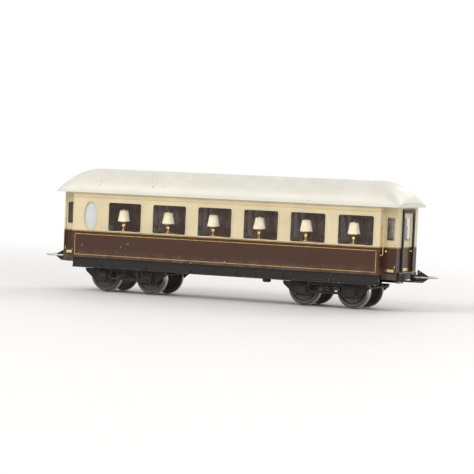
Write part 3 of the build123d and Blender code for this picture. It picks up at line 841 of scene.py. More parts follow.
def outer_of(low, high):
    """How far a box reaches from the coach's middle along X, Y and Z."""
    return [max(abs(a), abs(b)) for a, b in zip(low, high)]


def new_piece(name, shape, slots, on_body, replaced=(), sharp=35.0):
    """Makes an object of the shape, finishes it and lets it ride on its body."""
    mesh = bpy.data.meshes.new(name)
    bmesh.ops.remove_doubles(shape, verts=shape.verts[:], dist=0.1 * mm * mm)
    shape.to_mesh(mesh)
    shape.free()
    mesh.shade_smooth()
    mesh.set_sharp_from_angle(angle=math.radians(sharp))
    for slot in slots:
        mesh.materials.append(material_of(slot))
    piece = bpy.data.objects.new(name, mesh)
    bpy.context.scene.collection.objects.link(piece)
    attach(piece, on_body)
    if replaced:
        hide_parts(*replaced)
    return piece


class CoachStep:
    """What every step of the build has in common."""

    bl_options = {"REGISTER", "UNDO"}


class COACH_OT_paint_body(CoachStep, bpy.types.Operator):
    """Paint the sides, ends and doors in two colours"""

    bl_idname = "coach.paint_body"
    bl_label = "Paint Body"

    def execute(self, context):
        paint_nodes("coach_paint")
        return {"FINISHED"}


class COACH_OT_paint_roof(CoachStep, bpy.types.Operator):
    """Paint the roof off-white"""

    bl_idname = "coach.paint_roof"
    bl_label = "Paint Roof"

    def execute(self, context):
        paint_nodes("roof_paint")
        return {"FINISHED"}


class COACH_OT_paint_underframe(CoachStep, bpy.types.Operator):
    """Paint the underframe, bogies and couplings black and finish the bright parts"""

    bl_idname = "coach.paint_underframe"
    bl_label = "Paint Underframe"

    def execute(self, context):
        paint_nodes(
            "underframe_paint", "bogie_paint", "coupling_steel", "wheel_metal", "bright_steel"
        )
        return {"FINISHED"}


class COACH_OT_glaze_windows(CoachStep, bpy.types.Operator):
    """Give the panes clear or frosted glass"""

    bl_idname = "coach.glaze_windows"
    bl_label = "Glaze Windows"

    def execute(self, context):
        paint_nodes("window_glass", "frosted_glass")
        return {"FINISHED"}


class COACH_OT_panel_saloon(CoachStep, bpy.types.Operator):
    """Finish the panelled parts in wood and put framed wood panels on both faces of the partition
    """

    bl_idname = "coach.panel_saloon"
    bl_label = "Panel Saloon"
    stile = 3.0 * mm
    proud = 0.5 * mm
    rounding = 0.2 * mm
    end_gap = 2 * mm

    def execute(self, context):
        paint_nodes("panelling")
        panels = bmesh.new()
        for s in both_ways:
            self.add_frames(panels, s * (partition_high.y + self.proud / 2))
        new_piece("saloon_panels", panels, ["panelling"], body)
        return {"FINISHED"}

    def add_frames(self, panels, y):
        """Rails from end to end, posts between the windows, and raised fields in between."""
        rails = (floor_high.z + 1.6 * mm, waist_z - 1.0 * mm, cantrail_z - 2.0 * mm)
        length = partition_high.x - partition_low.x - self.end_gap
        rail = block((length, self.proud, self.stile), self.rounding)
        for z in rails:
            stamp(panels, rail, at(0, y, z))
        post = block((self.stile, self.proud, rails[-1] - rails[0]), self.rounding)
        for x in [x - window_pitch / 2 for x in window_xs] + [window_xs[-1] + window_pitch / 2]:
            x = max(min(x, partition_high.x - self.end_gap), partition_low.x + self.end_gap)
            stamp(panels, post, at(x, y, (rails[0] + rails[-1]) / 2))
        for x in window_xs:
            for bottom, top in zip(rails, rails[1:]):
                width = window_pitch - self.stile - 6 * mm
                height = top - bottom - self.stile - 5 * mm
                field = block((width, self.proud, height), 0.24 * mm)
                stamp(panels, field, at(x, y, (bottom + top) / 2))


class COACH_OT_seat_armchairs(CoachStep, bpy.types.Operator):
    """Set a pair of moulded armchairs at each table"""

    bl_idname = "coach.seat_armchairs"
    bl_label = "Seat Armchairs"
    depth = 12.6 * mm
    width = 12.4 * mm
    arm = 2.4 * mm
    seat_z = 11.0 * mm

    def execute(self, context):
        chairs = bmesh.new()
        chair = self.one_chair(chair_high.z - floor_high.z)
        back_reach = chair_high.x - window_xs[-1]
        for x in window_xs:
            for s in both_ways:
                for out in both_ways:
                    move = at(x + out * back_reach, s * chair_high.y, floor_high.z)
                    stamp(chairs, chair, move @ Matrix.Diagonal((-out, -s, 1, 1)))
        new_piece("moulded_armchairs", chairs, ["chair_paint"], body, ["armchairs"])
        return {"FINISHED"}

    def one_chair(self, height):
        """A chair with its back at x = 0 and its wall side at y = 0, standing on z = 0."""
        depth, width, seat_z = self.depth, self.width, self.seat_z
        middle = width / 2
        chair = bmesh.new()
        base = block((depth - 1.6 * mm, width - 0.8 * mm, seat_z - 4 * mm), 0.7 * mm)
        stamp(chair, base, at((depth + 1.2 * mm) / 2, middle, seat_z / 2))
        cushion = block((depth - 3.4 * mm, width - 2 * self.arm, 2.6 * mm), 1.0 * mm, 4)
        stamp(chair, cushion, at((depth + 3.4 * mm) / 2, middle, seat_z - 0.4 * mm))
        arm = block((depth - 2.2 * mm, self.arm, 6.0 * mm), 1.0 * mm, 4)
        for y in (self.arm / 2, width - self.arm / 2):
            stamp(chair, arm, at((depth + 2.0 * mm) / 2, y, seat_z + 1.6 * mm))
        back = plate(self.back_outline(height), 3.0 * mm, 0.8 * mm)
        upright = Matrix.Rotation(math.pi / 2, 4, "Z") @ Matrix.Rotation(math.pi / 2, 4, "X")
        lean = Matrix.Rotation(math.radians(-3), 4, "Y")
        stamp(chair, back, at(2.2 * mm, middle, 0) @ lean @ upright)
        foot = turned(10, (0, 0), (0.5, 0), (0.8, 2.4), (0, 2.4))
        for x in (2.2 * mm, depth - 1.2 * mm):
            for y in (1.4 * mm, width - 1.4 * mm):
                stamp(chair, foot, at(x, y, 0))
        return chair

    def back_outline(self, height):
        """The back seen from in front, with a crest that rises to the middle."""
        half = self.width / 2 - 0.2 * mm
        shoulder = height - 3.4 * mm
        steps = 12
        turns = [math.pi * k / steps for k in range(steps + 1)]
        rise = height - shoulder
        crest = [(half * math.cos(a), shoulder + rise * math.sin(a)) for a in turns]
        return [(-half, 3.0 * mm), (half, 3.0 * mm)] + crest


class COACH_OT_lay_tables(CoachStep, bpy.types.Operator):
    """Stand a table with a turned leg at each window"""

    bl_idname = "coach.lay_tables"
    bl_label = "Lay Tables"
    length = 14.0 * mm
    depth = 13.0 * mm
    top = 1.0 * mm
    overhang = 2.4 * mm

    def execute(self, context):
        tables = bmesh.new()
        slab = block((self.length, self.depth, self.top), 0.35 * mm, 3)
        under = (self.length - self.overhang, self.depth - self.overhang, 1.2 * mm)
        apron = block(under, 0.2 * mm)
        leg = lathe(self.leg_profile(table_high.z - floor_high.z - self.top), 18)
        for x in window_xs:
            for s in both_ways:
                y = s * (table_high.y - self.depth / 2)
                stamp(tables, slab, at(x, y, table_high.z - self.top / 2))
                stamp(tables, apron, at(x, y, table_high.z - self.top - 0.5 * mm))
                stamp(tables, leg, at(x, y, floor_high.z))
        new_piece("saloon_tables", tables, ["table_wood"], body, ["tables"])
        return {"FINISHED"}

    def leg_profile(self, height):
        """(radius, height) from the floor to the underside of the top."""
        foot = (
            (0.0, 0.0), (3.0, 0.0), (3.0, 0.5), (2.2, 1.0), (1.0, 2.0), (0.8, 3.2), (1.4, 4.4),
            (0.9, 5.4), (0.8, 12.0), (1.3, 14.0), (0.8, 15.2),
        )
        return scaled(foot) + [(2.0 * mm, height), (0.0, height)]


class COACH_OT_light_lamps(CoachStep, bpy.types.Operator):
    """Set a brass lamp with a pleated shade on each table"""

    bl_idname = "coach.light_lamps"
    bl_label = "Set Lamps"
    band = 0.28 * mm
    paper = 0.3 * mm
    taper = 0.66

    def execute(self, context):
        lamps, shades = bmesh.new(), bmesh.new()
        reach = (lamp_high.x - lamp_low.x) - window_row
        shift = lamp_high.x - reach / 2 - window_xs[-1]
        lamp_y = lamp_high.y - reach / 2
        stand = lathe(self.stand_profile(shade_high.z - table_high.z), 24)
        shade = self.one_shade(context.scene.coach_sizes, shade_high.z - shade_low.z)
        for x in window_xs:
            for s in both_ways:
                stamp(lamps, stand, at(x + shift, s * lamp_y, table_high.z))
                stamp(shades, shade, at(x + shift, s * lamp_y, shade_low.z))
        new_piece("brass_lamps", lamps, ["lamp_brass"], body, ["table_lamps"])
        new_piece(
            "pleated_shades", shades, ["shade_paper", "lamp_brass"], body, ["lamp_shades"], 20.0
        )
        return {"FINISHED"}

    def stand_profile(self, height):
        """(radius, height) from the table to the finial above the shade."""
        top = height / mm
        return scaled((
            (0.0, 0.0), (2.4, 0.0), (2.4, 0.35), (2.2, 0.6), (1.5, 0.9), (0.8, 1.5), (0.7, 2.0),
            (1.3, 2.6), (1.75, 3.6), (1.8, 4.6), (1.5, 5.8), (0.9, 6.8), (0.6, 7.4), (0.9, 7.8),
            (0.6, 8.2), (0.5, top - 0.4), (0.8, top), (0.5, top + 0.3), (0.75, top + 0.8),
            (0.45, top + 1.3), (0.0, top + 1.5),
        ))

    def one_shade(self, sizes, height):
        """A pleated cone about Z, its lower rim at z = 0, with brass bands at its rims."""
        low_radius = (shade_high.x - shade_low.x - window_row) / 2
        top_radius = low_radius * self.taper
        waist = (low_radius + top_radius) / 2 - 0.15 * mm
        # Columns: height, radius at that height, share of the pleat's depth
        rows = ((0.0, low_radius, 1.0), (height * 0.5, waist, 1.0), (height, top_radius, 0.7))
        shade = bmesh.new()
        outer = [self.pleated_ring(shade, sizes, *row, 0.0) for row in rows]
        inner = [self.pleated_ring(shade, sizes, *row, self.paper) for row in reversed(rows)]
        skin(shade, outer + inner + outer[:1])
        for z, radius in ((0.0, low_radius), (height, top_radius)):
            line = [Vector((x, y, z)) for x, y in circle(radius - 0.15 * mm, 40)]
            hoop = swept(line, circle(self.band, 6), Vector((0, 0, 1)), closed=True)
            stamp(shade, hoop, material=1)
        low, high = height - 0.5 * mm, height - 0.2 * mm
        stamp(shade, lathe(((0, low), (top_radius, low), (top_radius, high), (0, high)), 40))
        return shade

    def pleated_ring(self, shade, sizes, z, radius, share, inset):
        count = 2 * sizes.pleats
        ring = []
        for k in range(count):
            r = radius - inset - sizes.pleat_depth * share * (k % 2)
            a = math.tau * k / count
            ring.append(shade.verts.new((r * math.cos(a), r * math.sin(a), z)))
        return ring


class COACH_OT_hang_doors(CoachStep, bpy.types.Operator):
    """Fit handles, hinges, window rims and kick plates to the doors"""

    bl_idname = "coach.hang_doors"
    bl_label = "Fit Door Furniture"
    rim = 0.7 * mm
    rim_corner = 1.2 * mm
    rim_height = 0.3 * mm
    pane_lap = 1.6 * mm
    kick_thickness = 0.24 * mm
    kick_proud = 0.1 * mm
    handle_z = waist_z - 3 * mm
    lock_x = 3.4 * mm
    hinge_x = 4.4 * mm
    gangway_lock_y = 9.6 * mm

    def execute(self, context):
        brass, rims = bmesh.new(), bmesh.new()
        for end, e in ends:
            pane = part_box(f"door_glazing_{end}")
            for side, s in sides:
                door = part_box(f"door_{end}_{side}")
                self.side_door(brass, rims, door, pane, e, s)
            self.gangway_door(brass, rims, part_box(f"gangway_door_{end}"), pane, e)
        new_piece("door_furniture", brass, ["lamp_brass"], body)
        new_piece("door_window_rims", rims, ["coach_paint"], body)
        return {"FINISHED"}

    def handle(self):
        """A rose, a neck and a lever along X, standing on z = 0."""
        shape = turned(
            16, (0.0, 0.0), (1.0, 0.0), (1.0, 0.2), (0.5, 0.35), (0.4, 1.0), (0.6, 1.3),
            (0.3, 1.6), (0.0, 1.7),
        )
        lever = block((3.0 * mm, 0.7 * mm, 0.5 * mm), 0.2 * mm, 3)
        stamp(shape, lever, at(-1.2 * mm, 0, 1.25 * mm))
        return shape

    def add_rim(self, rims, pane, width, x, y, turn):
        """A rim round a door's window, which laps the pane."""
        low, high = pane
        rim = window_rim(
            width, high.z - low.z - self.pane_lap, self.rim_corner, self.rim, self.rim_height
        )
        stamp(rims, rim, at(x, y, (low.z + high.z) / 2, turn))

    def side_door(self, brass, rims, door, pane, e, s):
        x = middle_of(*door)[0]
        y = s * outer_of(*door)[1]
        turn = along_y(s)
        flip = Matrix.Diagonal((-e * s, 1, 1, 1))
        lock = at(x - e * self.lock_x, y, self.handle_z, turn @ flip)
        stamp(brass, self.handle(), lock)
        hinge = turned(12, (0, -1.2), (0.45, -1.2), (0.45, 1.2), (0, 1.2))
        for z in (floor_high.z + 5 * mm, waist_z + 2 * mm, window_top - 3 * mm):
            stamp(brass, hinge, at(x + e * self.hinge_x, y + s * 0.3 * mm, z))
        kick = block((7.6 * mm, self.kick_thickness, 2.2 * mm), 0.08 * mm)
        stamp(brass, kick, at(x, y + s * self.kick_proud, floor_high.z + 1.8 * mm))
        self.add_rim(rims, pane, 6.4 * mm, x, y, turn)

    def gangway_door(self, brass, rims, door, pane, e):
        x = e * outer_of(*door)[0]
        upright = along_x(e) @ Matrix.Rotation(math.pi / 2, 4, "Z")
        stamp(brass, self.handle(), at(x, e * self.gangway_lock_y, self.handle_z, upright))
        kick = block((self.kick_thickness, 20 * mm, 2.6 * mm), 0.08 * mm)
        stamp(brass, kick, at(x + e * self.kick_proud, 0, floor_high.z + 2.4 * mm))
        self.add_rim(rims, pane, 18.0 * mm, x, 0, upright)


class COACH_OT_bend_handrails(CoachStep, bpy.types.Operator):
    """Bend the brass handrails beside the doors and stand them in flanges"""

    bl_idname = "coach.bend_handrails"
    bl_label = "Bend Handrails"

    def execute(self, context):
        sizes = context.scene.coach_sizes
        radius = sizes.rail_radius
        low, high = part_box("handrails")
        bottom, top = low.z + radius, high.z - radius
        flange = turned(20, (0, 0), (1.1, 0), (1.1, 0.2), (0.7, 0.45), (0, 0.5))
        rails = bmesh.new()
        for _, e in ends:
            wall_x, out_x = e * side_high.x, e * (high.x - radius)
            for s in both_ways:
                y = s * (high.y - radius)
                line = [(wall_x, y, bottom), (out_x, y, bottom), (out_x, y, top), (wall_x, y, top)]
                points = rounded_corners(line, sizes.rail_bend)
                stamp(rails, swept(points, circle(radius, 14), Vector((0, 1, 0))))
                for z in (bottom, top):
                    stamp(rails, flange, at(wall_x, y, z, along_x(e)))
        new_piece("brass_handrails", rails, ["lamp_brass"], body, ["handrails"])
        return {"FINISHED"}


class COACH_OT_rivet_underframe(CoachStep, bpy.types.Operator):
    """Put rivets on solebars and headstocks, tabs under the floor and bands on the cylinder"""

    bl_idname = "coach.rivet_underframe"
    bl_label = "Rivet Underframe"
    solebar_spacing = 13.7 * mm
    solebar_web = 0.8 * mm
    headstock_ys = (-17.5 * mm, -9.0 * mm, 9.0 * mm, 17.5 * mm)
    tab_spacing = 23 * mm

    def execute(self, context):
        details = bmesh.new()
        head = rivet(context.scene.coach_sizes.rivet_radius)
        self.solebar_rivets(details, head)
        self.headstock_rivets(details, head)
        self.floor_tabs(details)
        self.cylinder_fittings(details, head)
        new_piece("underframe_details", details, ["underframe_paint"], body)
        self.pivot_nuts()
        return {"FINISHED"}

    def solebar_rivets(self, details, head):
        """Two rows along each solebar, with a bracket at every third pair."""
        low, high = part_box("solebar_left")
        web_y = low.y + self.solebar_web
        rows = (low.z + 2.2 * mm, high.z - 2.2 * mm)
        count = int((high.x - low.x - 8 * mm) / self.solebar_spacing)
        bracket = block((1.6 * mm, 0.6 * mm, high.z - low.z - 2.2 * mm), 0.15 * mm)
        for s in both_ways:
            for k in range(count + 1):
                x = (k - count / 2) * self.solebar_spacing
                for z in rows:
                    stamp(details, head, at(x, s * web_y, z, along_y(s)))
                if k % 3 == 1:
                    spot = at(
                        x + self.solebar_spacing / 2, s * (web_y + 0.2 * mm), (low.z + high.z) / 2
                    )
                    stamp(details, bracket, spot)

    def headstock_rivets(self, details, head):
        low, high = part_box("headstock_front")
        for _, e in ends:
            for y in self.headstock_ys:
                for z in (low.z + 1.7 * mm, high.z - 1.7 * mm):
                    stamp(details, head, at(e * high.x, y, z, along_x(e)))

    def floor_tabs(self, details):
        """Tabs of the partition, pushed through the floor and folded over."""
        tab = block((3.4 * mm, 1.8 * mm, 0.45 * mm), 0.12 * mm)
        for k in range(-2, 3):
            for lean in (-1, 1):
                x = k * self.tab_spacing + lean * 2.4 * mm
                stamp(details, tab, at(x, lean * 1.1 * mm, floor_low.z - 0.2 * mm))

    def cylinder_fittings(self, details, head):
        """A band round the brake cylinder and six rivets on its lower end."""
        low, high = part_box("brake_cylinder")
        x, y, _ = middle_of(low, high)
        radius = (high.x - low.x) / 2
        inner, outer = radius - 0.1 * mm, radius + 0.35 * mm
        z = low.z + 3.2 * mm
        band = lathe((
            (inner, z - 0.6 * mm), (outer, z - 0.5 * mm), (outer, z + 0.5 * mm),
            (inner, z + 0.6 * mm), (inner, z - 0.6 * mm),
        ), 36)
        stamp(details, band, at(x, y, 0))
        for across, up in circle(radius - 1.3 * mm, 6):
            stamp(details, head, at(x + across, y + up, low.z, upside_down))

    def pivot_nuts(self):
        """A nut on each bogie pivot and a domed end on each coupling pin."""
        nut = turned(6, (0, -0.1), (2.3, -0.1), (2.5, 0.2), (2.5, 1.0), (2.2, 1.2), (0, 1.2))
        stud = turned(20, (0, 1.1), (1.3, 1.1), (1.3, 1.6), (1.0, 1.8), (0, 1.85))
        dome = turned(24, (0, -0.1), (2.0, -0.1), (1.9, 0.25), (1.5, 0.5), (0.8, 0.65), (0, 0.7))
        nuts = bmesh.new()
        for end, _ in ends:
            low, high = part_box(f"bogie_pivot_{end}")
            for shape in (nut, stud):
                stamp(nuts, shape, at((low.x + high.x) / 2, 0, low.z, upside_down))
            low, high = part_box(f"coupling_pin_{end}")
            stamp(nuts, dome, at((low.x + high.x) / 2, 0, low.z, upside_down))
        new_piece("pivot_nuts", nuts, ["bright_steel"], body)


class COACH_OT_detail_bogies(CoachStep, bpy.types.Operator):
    """Add leaf springs, axlebox lids, bolts and rivets to the bogies"""

    bl_idname = "coach.detail_bogies"
    bl_label = "Detail Bogies"
    leaf_width = 2.2 * mm
    leaf_middle = 1.3 * mm
    lid_drop = 0.6 * mm
    frame_thickness = 1.6 * mm
    rivet_spacing = 6.6 * mm
    plate_rivets = ((14 * mm, 5.5 * mm), (30 * mm, 5.5 * mm), (3 * mm, 19 * mm))

    def execute(self, context):
        sizes = context.scene.coach_sizes
        head = rivet(sizes.rivet_radius)
        for end, _ in ends:
            springs, fittings = bmesh.new(), bmesh.new()
            for side, s in sides:
                self.side_springs(springs, sizes, end, s)
                self.side_fittings(fittings, head, end, side, s)
            self.plate_fittings(fittings, head, end)
            new_piece(
                f"leaf_springs_{end}", springs, ["bogie_paint"], f"bogie_{end}",
                [f"bogie_springs_{end}"],
            )
            new_piece(f"bogie_fittings_{end}", fittings, ["bogie_paint"], f"bogie_{end}")
        return {"FINISHED"}

    def side_springs(self, springs, sizes, end, s):
        """Bowed leaves above and below the middle, held by a buckle at the top and bottom."""
        low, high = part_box(f"bogie_springs_{end}")
        x, _, z = middle_of(low, high)
        y = s * (outer_of(low, high)[1] - self.leaf_middle)
        half_span = (high.x - low.x) / 2
        half_rise = (high.z - low.z) / 2
        width = self.leaf_width
        leaf = half_rise / (sizes.leaf_count + 1.6)
        thick = leaf * 0.46
        half = width / 2
        section = [(-half, -thick), (half, -thick), (half, thick), (-half, thick)]
        for up in both_ways:
            for k in range(sizes.leaf_count):
                reach = half_span * (1 - 0.2 * k)
                rise = half_rise - leaf * (k + 0.5)
                points = []
                for i in range(17):
                    t = -1 + 2 * i / 16
                    bow = 1 - (t * reach / half_span) ** 2
                    lift = up * (rise * bow - leaf * 0.2)
                    points.append(Vector((x + t * reach, y, z + lift)))
                stamp(springs, swept(points, section, Vector((0, 0, 1))))
            buckle = block((3.0 * mm, width + 0.6 * mm, half_rise * 0.9), 0.2 * mm)
            stamp(springs, buckle, at(x, y, z + up * half_rise * 0.5))
        eye = turned(14, (0, -1.3), (0.7, -1.3), (0.7, 1.3), (0, 1.3))
        for out in both_ways:
            stamp(springs, eye, at(x + out * (half_span - 0.5 * mm), y, z, along_y(1)))

    def side_fittings(self, fittings, head, end, side, s):
        """Axlebox lids with their bosses, hoods and bolts, and a row of rivets on the top bar."""
        low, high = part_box(f"bogie_side_{end}_{side}")
        turn = along_y(s)
        face_y = s * outer_of(low, high)[1]
        frame_y = s * (min(abs(low.y), abs(high.y)) + self.frame_thickness)
        lid = block((5.4 * mm, 4.6 * mm, 0.5 * mm), 0.2 * mm)
        boss = turned(24, (0.0, 0.0), (1.7, 0.0), (1.7, 0.5), (1.4, 0.8), (0.8, 0.9), (0.0, 0.95))
        hood = block((6.6 * mm, 0.7 * mm, 0.7 * mm), 0.2 * mm)
        nut = turned(6, (0, 0), (0.75, 0), (0.75, 0.7), (0.4, 0.8), (0, 0.8))
        for axle in axles:
            x, _, z = middle_of(*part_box(f"axle_{end}_{axle}"))
            stamp(fittings, lid, at(x, face_y, z - self.lid_drop, turn))
            stamp(fittings, boss, at(x, face_y + s * 0.1 * mm, z - self.lid_drop, turn))
            stamp(fittings, hood, at(x, face_y + s * 0.2 * mm, z + 2.6 * mm))
            for u in (-1, 1):
                for up in (-3.4 * mm, 3.6 * mm):
                    stamp(fittings, head, at(x + u * 3.2 * mm, face_y, z + up, turn))
                spot = at(x + u * 4.9 * mm, frame_y + s * 1.1 * mm, low.z + 1.4 * mm, turn)
                stamp(fittings, nut, spot)
        middle_x = (low.x + high.x) / 2
        for k in range(-5, 6):
            x = middle_x + k * self.rivet_spacing
            stamp(fittings, head, at(x, frame_y, high.z - 1.7 * mm, turn))

    def plate_fittings(self, fittings, head, end):
        low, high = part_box(f"bogie_plate_{end}")
        middle_x = (low.x + high.x) / 2
        for u in (-1, 1):
            for v in (-1, 1):
                for x, y in self.plate_rivets:
                    stamp(fittings, head, at(middle_x + u * x, v * y, low.z, upside_down))


class COACH_OT_turn_wheels(CoachStep, bpy.types.Operator):
    """Turn the wheels with blackened faces and bright treads"""

    bl_idname = "coach.turn_wheels"
    bl_label = "Turn Wheels"
    # Columns: radius and distance from the wheel's back, in millimetres
    profile = (
        (1.5, 0.3), (1.9, 0.0), (3.6, 0.0), (4.0, 0.25), (4.4, 0.5), (10.2, 0.5), (10.6, 0.25),
        (10.9, 0.0), (13.7, 0.0), (14.2, 0.12), (14.44, 0.4), (14.5, 0.65), (14.36, 0.95),
        (13.95, 1.22), (13.5, 1.42), (13.2, 1.7), (13.08, 2.1), (13.0, 2.8), (12.9, 5.2),
        (12.75, 5.5), (12.5, 5.6), (10.9, 5.6), (10.6, 5.45), (10.3, 5.0), (10.0, 4.4),
        (9.4, 4.25), (5.2, 4.2), (4.4, 4.4), (3.9, 5.0), (3.5, 5.9), (3.2, 6.15), (2.0, 6.2),
        (1.5, 5.9), (1.5, 0.3),
    )
    hub_front = 6.2 * mm
    tread_radius = 12.88 * mm

    def execute(self, context):
        for end, _ in ends:
            for axle in axles:
                self.pair(end, axle)
        return {"FINISHED"}

    def pair(self, end, axle):
        low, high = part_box(f"wheels_{end}_{axle}")
        x, _, z = middle_of(low, high)
        wheel = turned(72, *self.profile)
        for face in wheel.faces:
            middle = face.calc_center_median()
            face.material_index = int(math.hypot(middle.x, middle.y) > self.tread_radius)
        wheels = bmesh.new()
        for s in both_ways:
            stamp(wheels, wheel, at(x, s * (high.y - self.hub_front), z, along_y(s)))
        new_piece(
            f"turned_wheels_{end}_{axle}", wheels, ["wheel_metal", "bright_steel"],
            f"wheelset_{end}_{axle}", [f"wheels_{end}_{axle}"],
        )


class COACH_OT_bend_couplings(CoachStep, bpy.types.Operator):
    """Bend the coupling loops from round wire and rivet the hooks"""

    bl_idname = "coach.bend_couplings"
    bl_label = "Bend Couplings"
    wire = 0.7 * mm

    def execute(self, context):
        sizes = context.scene.coach_sizes
        head = rivet(sizes.rivet_radius * 1.2)
        for end, e in ends:
            low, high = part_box(f"coupling_loop_{end}")
            near_x, far_x = sorted((low.x, high.x), key=abs)
            near_x += e * self.wire
            far_x -= e * self.wire
            half = high.y - self.wire
            z = (low.z + high.z) / 2
            corners = [(near_x, -half, z), (far_x, -half, z), (far_x, half, z), (near_x, half, z)]
            line = rounded_corners(corners, sizes.loop_bend, closed=True)
            loop = swept(line, circle(self.wire, 16), Vector((0, 0, 1)), closed=True)
            new_piece(
                f"wire_loop_{end}", loop, ["bright_steel"], f"coupling_{end}",
                [f"coupling_loop_{end}"],
            )
            self.hook_rivets(head, end, e)
        return {"FINISHED"}

    def hook_rivets(self, head, end, e):
        low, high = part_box(f"drawhook_{end}")
        heel_x = e * (outer_of(low, high)[0] - 12.0 * mm)
        rivets = bmesh.new()
        for x in (heel_x, heel_x + e * 3.2 * mm):
            for s in both_ways:
                stamp(rivets, head, at(x, s * 0.6 * mm, low.z + 3.4 * mm, along_y(s)))
        new_piece(f"hook_rivets_{end}", rivets, ["coupling_steel"], f"coupling_{end}")


class COACH_OT_trim_ends(CoachStep, bpy.types.Operator):
    """Rivet the gangway frames at both ends"""

    bl_idname = "coach.trim_ends"
    bl_label = "Trim Ends"
    upright_rivets = 9
    top_rivets = 4

    def execute(self, context):
        head = rivet(context.scene.coach_sizes.rivet_radius * 0.8)
        trims = bmesh.new()
        for end, e in ends:
            low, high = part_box(f"gangway_frame_{end}")
            face_x = e * outer_of(low, high)[0]
            rim_y = high.y - 1.25 * mm
            for k in range(self.upright_rivets):
                up = (high.z - low.z - 4 * mm) * k / (self.upright_rivets - 1)
                for s in both_ways:
                    stamp(trims, head, at(face_x, s * rim_y, low.z + 2 * mm + up, along_x(e)))
            for k in range(1, self.top_rivets + 1):
                y = -rim_y + 2 * rim_y * k / (self.top_rivets + 1)
                stamp(trims, head, at(face_x, y, high.z - 1.3 * mm, along_x(e)))
        new_piece("gangway_rivets", trims, ["underframe_paint"], body)
        return {"FINISHED"}


def seen(tree):
    """1 for what the camera sees, straight, in a reflection or through glass, and else 0."""
    rays = tree.nodes.new("ShaderNodeLightPath").outputs
    bounced = larger(Value(rays["Is Glossy Ray"]), Value(rays["Is Transmission Ray"]))
    return larger(Value(rays["Is Camera Ray"]), bounced)


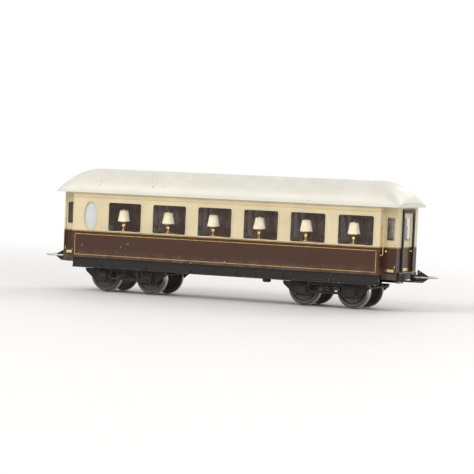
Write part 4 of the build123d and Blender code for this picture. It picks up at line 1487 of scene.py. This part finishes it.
class COACH_OT_set_stage(CoachStep, bpy.types.Operator):
    """Lay the pale floor and set the lamps and the camera"""

    bl_idname = "coach.set_stage"
    bl_label = "Set Stage"

    def execute(self, context):
        stage = context.scene.coach_stage
        self.lay_floor(context, stage)
        self.light_world(context, stage)
        self.set_lamps(context, stage)
        self.set_camera(context, stage)
        context.scene.view_settings.view_transform = "Standard"
        return {"FINISHED"}

    def lay_floor(self, context, stage):
        ground = lathe(((0.0, 0.0), (0.5, 0.0), (2.0, 0.0), (6.0, 0.0)), 64)
        mesh = bpy.data.meshes.new("floor")
        ground.to_mesh(mesh)
        ground.free()
        mesh.materials.append(self.floor_material(stage))
        floor = bpy.data.objects.new("floor", mesh)
        context.scene.collection.objects.link(floor)

    def floor_material(self, stage):
        """Pale and matt near the coach, fading to white further off where it is looked at."""
        material, tree, shader = new_material("pale_floor")
        grain = noise(tree, 300.0, 4.0, 0.6)
        tone = mix(tree, ramp(grain, 0.3, 0.7, 0.0, 0.04), stage.floor, (0.7, 0.7, 0.7, 1))
        finish_surface(shader, tone, ramp(grain, 0.3, 0.7, 0.55, 0.65), grain, 0.02 * mm)
        white = add_node(tree, "ShaderNodeEmission", {"Color": (1, 1, 1, 1), "Strength": 1.0})
        fade = ramp(vector_maths("LENGTH", place(tree), output="Value"), 0.30, 1.1)
        show_both(tree, fade * seen(tree), shader, white)
        return material

    def light_world(self, context, stage):
        world = bpy.data.worlds.new("studio")
        world.use_nodes = True
        tree = world.node_tree
        tree.nodes.clear()
        strength = ramp(seen(tree), 0.0, 1.0, stage.sky, 1.0)
        sky = add_node(
            tree, "ShaderNodeBackground", {"Color": (1, 1, 1, 1), "Strength": strength}
        )
        add_node(tree, "ShaderNodeOutputWorld", {"Surface": Value(sky.outputs[0])})
        context.scene.world = world

    def set_lamps(self, context, stage):
        # Columns: name, place, power, size, colour
        lamps = (
            ("key_lamp", (-0.75, -1.25, 1.15), stage.key_power, 0.9, (1.0, 0.97, 0.93)),
            ("fill_lamp", (1.2, -0.9, 0.5), stage.fill_power, 0.8, (0.95, 0.97, 1.0)),
            ("back_lamp", (0.4, 1.3, 0.9), stage.back_power, 0.8, (1.0, 0.98, 0.95)),
        )
        target = (cad_low + cad_high) / 2
        for name, spot, power, size, colour in lamps:
            data = bpy.data.lights.new(name, "AREA")
            data.energy = power
            data.size = size
            data.color = colour
            lamp = bpy.data.objects.new(name, data)
            lamp.location = spot
            lamp.rotation_mode = "QUATERNION"
            lamp.rotation_quaternion = (target - Vector(spot)).to_track_quat("-Z", "Y")
            context.scene.collection.objects.link(lamp)

    def set_camera(self, context, stage):
        data = bpy.data.cameras.new("camera")
        camera = bpy.data.objects.new("camera", data)
        context.scene.collection.objects.link(camera)
        a, e = stage.azimuth, stage.elevation
        back = Vector((math.sin(a) * math.cos(e), -math.cos(a) * math.cos(e), math.sin(e)))
        camera.location = (cad_low + cad_high) / 2 + back * stage.distance
        camera.rotation_mode = "QUATERNION"
        roll = Matrix.Rotation(stage.roll, 3, "Z").to_quaternion()
        camera.rotation_quaternion = (-back).to_track_quat("-Z", "Y") @ roll
        data.lens = data.sensor_width * stage.distance / stage.framed_width
        data.clip_start = 0.05
        data.clip_end = 20.0
        context.scene.camera = camera


build_steps = (
    COACH_OT_paint_body,
    COACH_OT_paint_roof,
    COACH_OT_paint_underframe,
    COACH_OT_glaze_windows,
    COACH_OT_panel_saloon,
    COACH_OT_seat_armchairs,
    COACH_OT_lay_tables,
    COACH_OT_light_lamps,
    COACH_OT_hang_doors,
    COACH_OT_bend_handrails,
    COACH_OT_rivet_underframe,
    COACH_OT_detail_bogies,
    COACH_OT_turn_wheels,
    COACH_OT_bend_couplings,
    COACH_OT_trim_ends,
    COACH_OT_set_stage,
)


class COACH_PT_build(bpy.types.Panel):
    """Lists the coach's colours, sizes and build steps."""

    bl_idname = "COACH_PT_build"
    bl_label = "Model Coach"
    bl_space_type = "VIEW_3D"
    bl_region_type = "UI"
    bl_category = "Coach"

    def draw(self, context):
        scene = context.scene
        for group in (scene.coach_paint, scene.coach_sizes, scene.coach_stage):
            box = self.layout.box()
            for name in group.__annotations__:
                box.prop(group, name)
        for step in build_steps:
            self.layout.operator(step.bl_idname)


classes = (CoachPaint, CoachSizes, CoachStage, *build_steps, COACH_PT_build)


def register():
    for cls in classes:
        bpy.utils.register_class(cls)
    bpy.types.Scene.coach_paint = bpy.props.PointerProperty(type=CoachPaint)
    bpy.types.Scene.coach_sizes = bpy.props.PointerProperty(type=CoachSizes)
    bpy.types.Scene.coach_stage = bpy.props.PointerProperty(type=CoachStage)


def unregister():
    del bpy.types.Scene.coach_stage
    del bpy.types.Scene.coach_sizes
    del bpy.types.Scene.coach_paint
    for cls in reversed(classes):
        bpy.utils.unregister_class(cls)


def main():
    register()
    for step in build_steps:
        group, name = step.bl_idname.split(".")
        getattr(getattr(bpy.ops, group), name)()


if __name__ == "__main__":
    main()
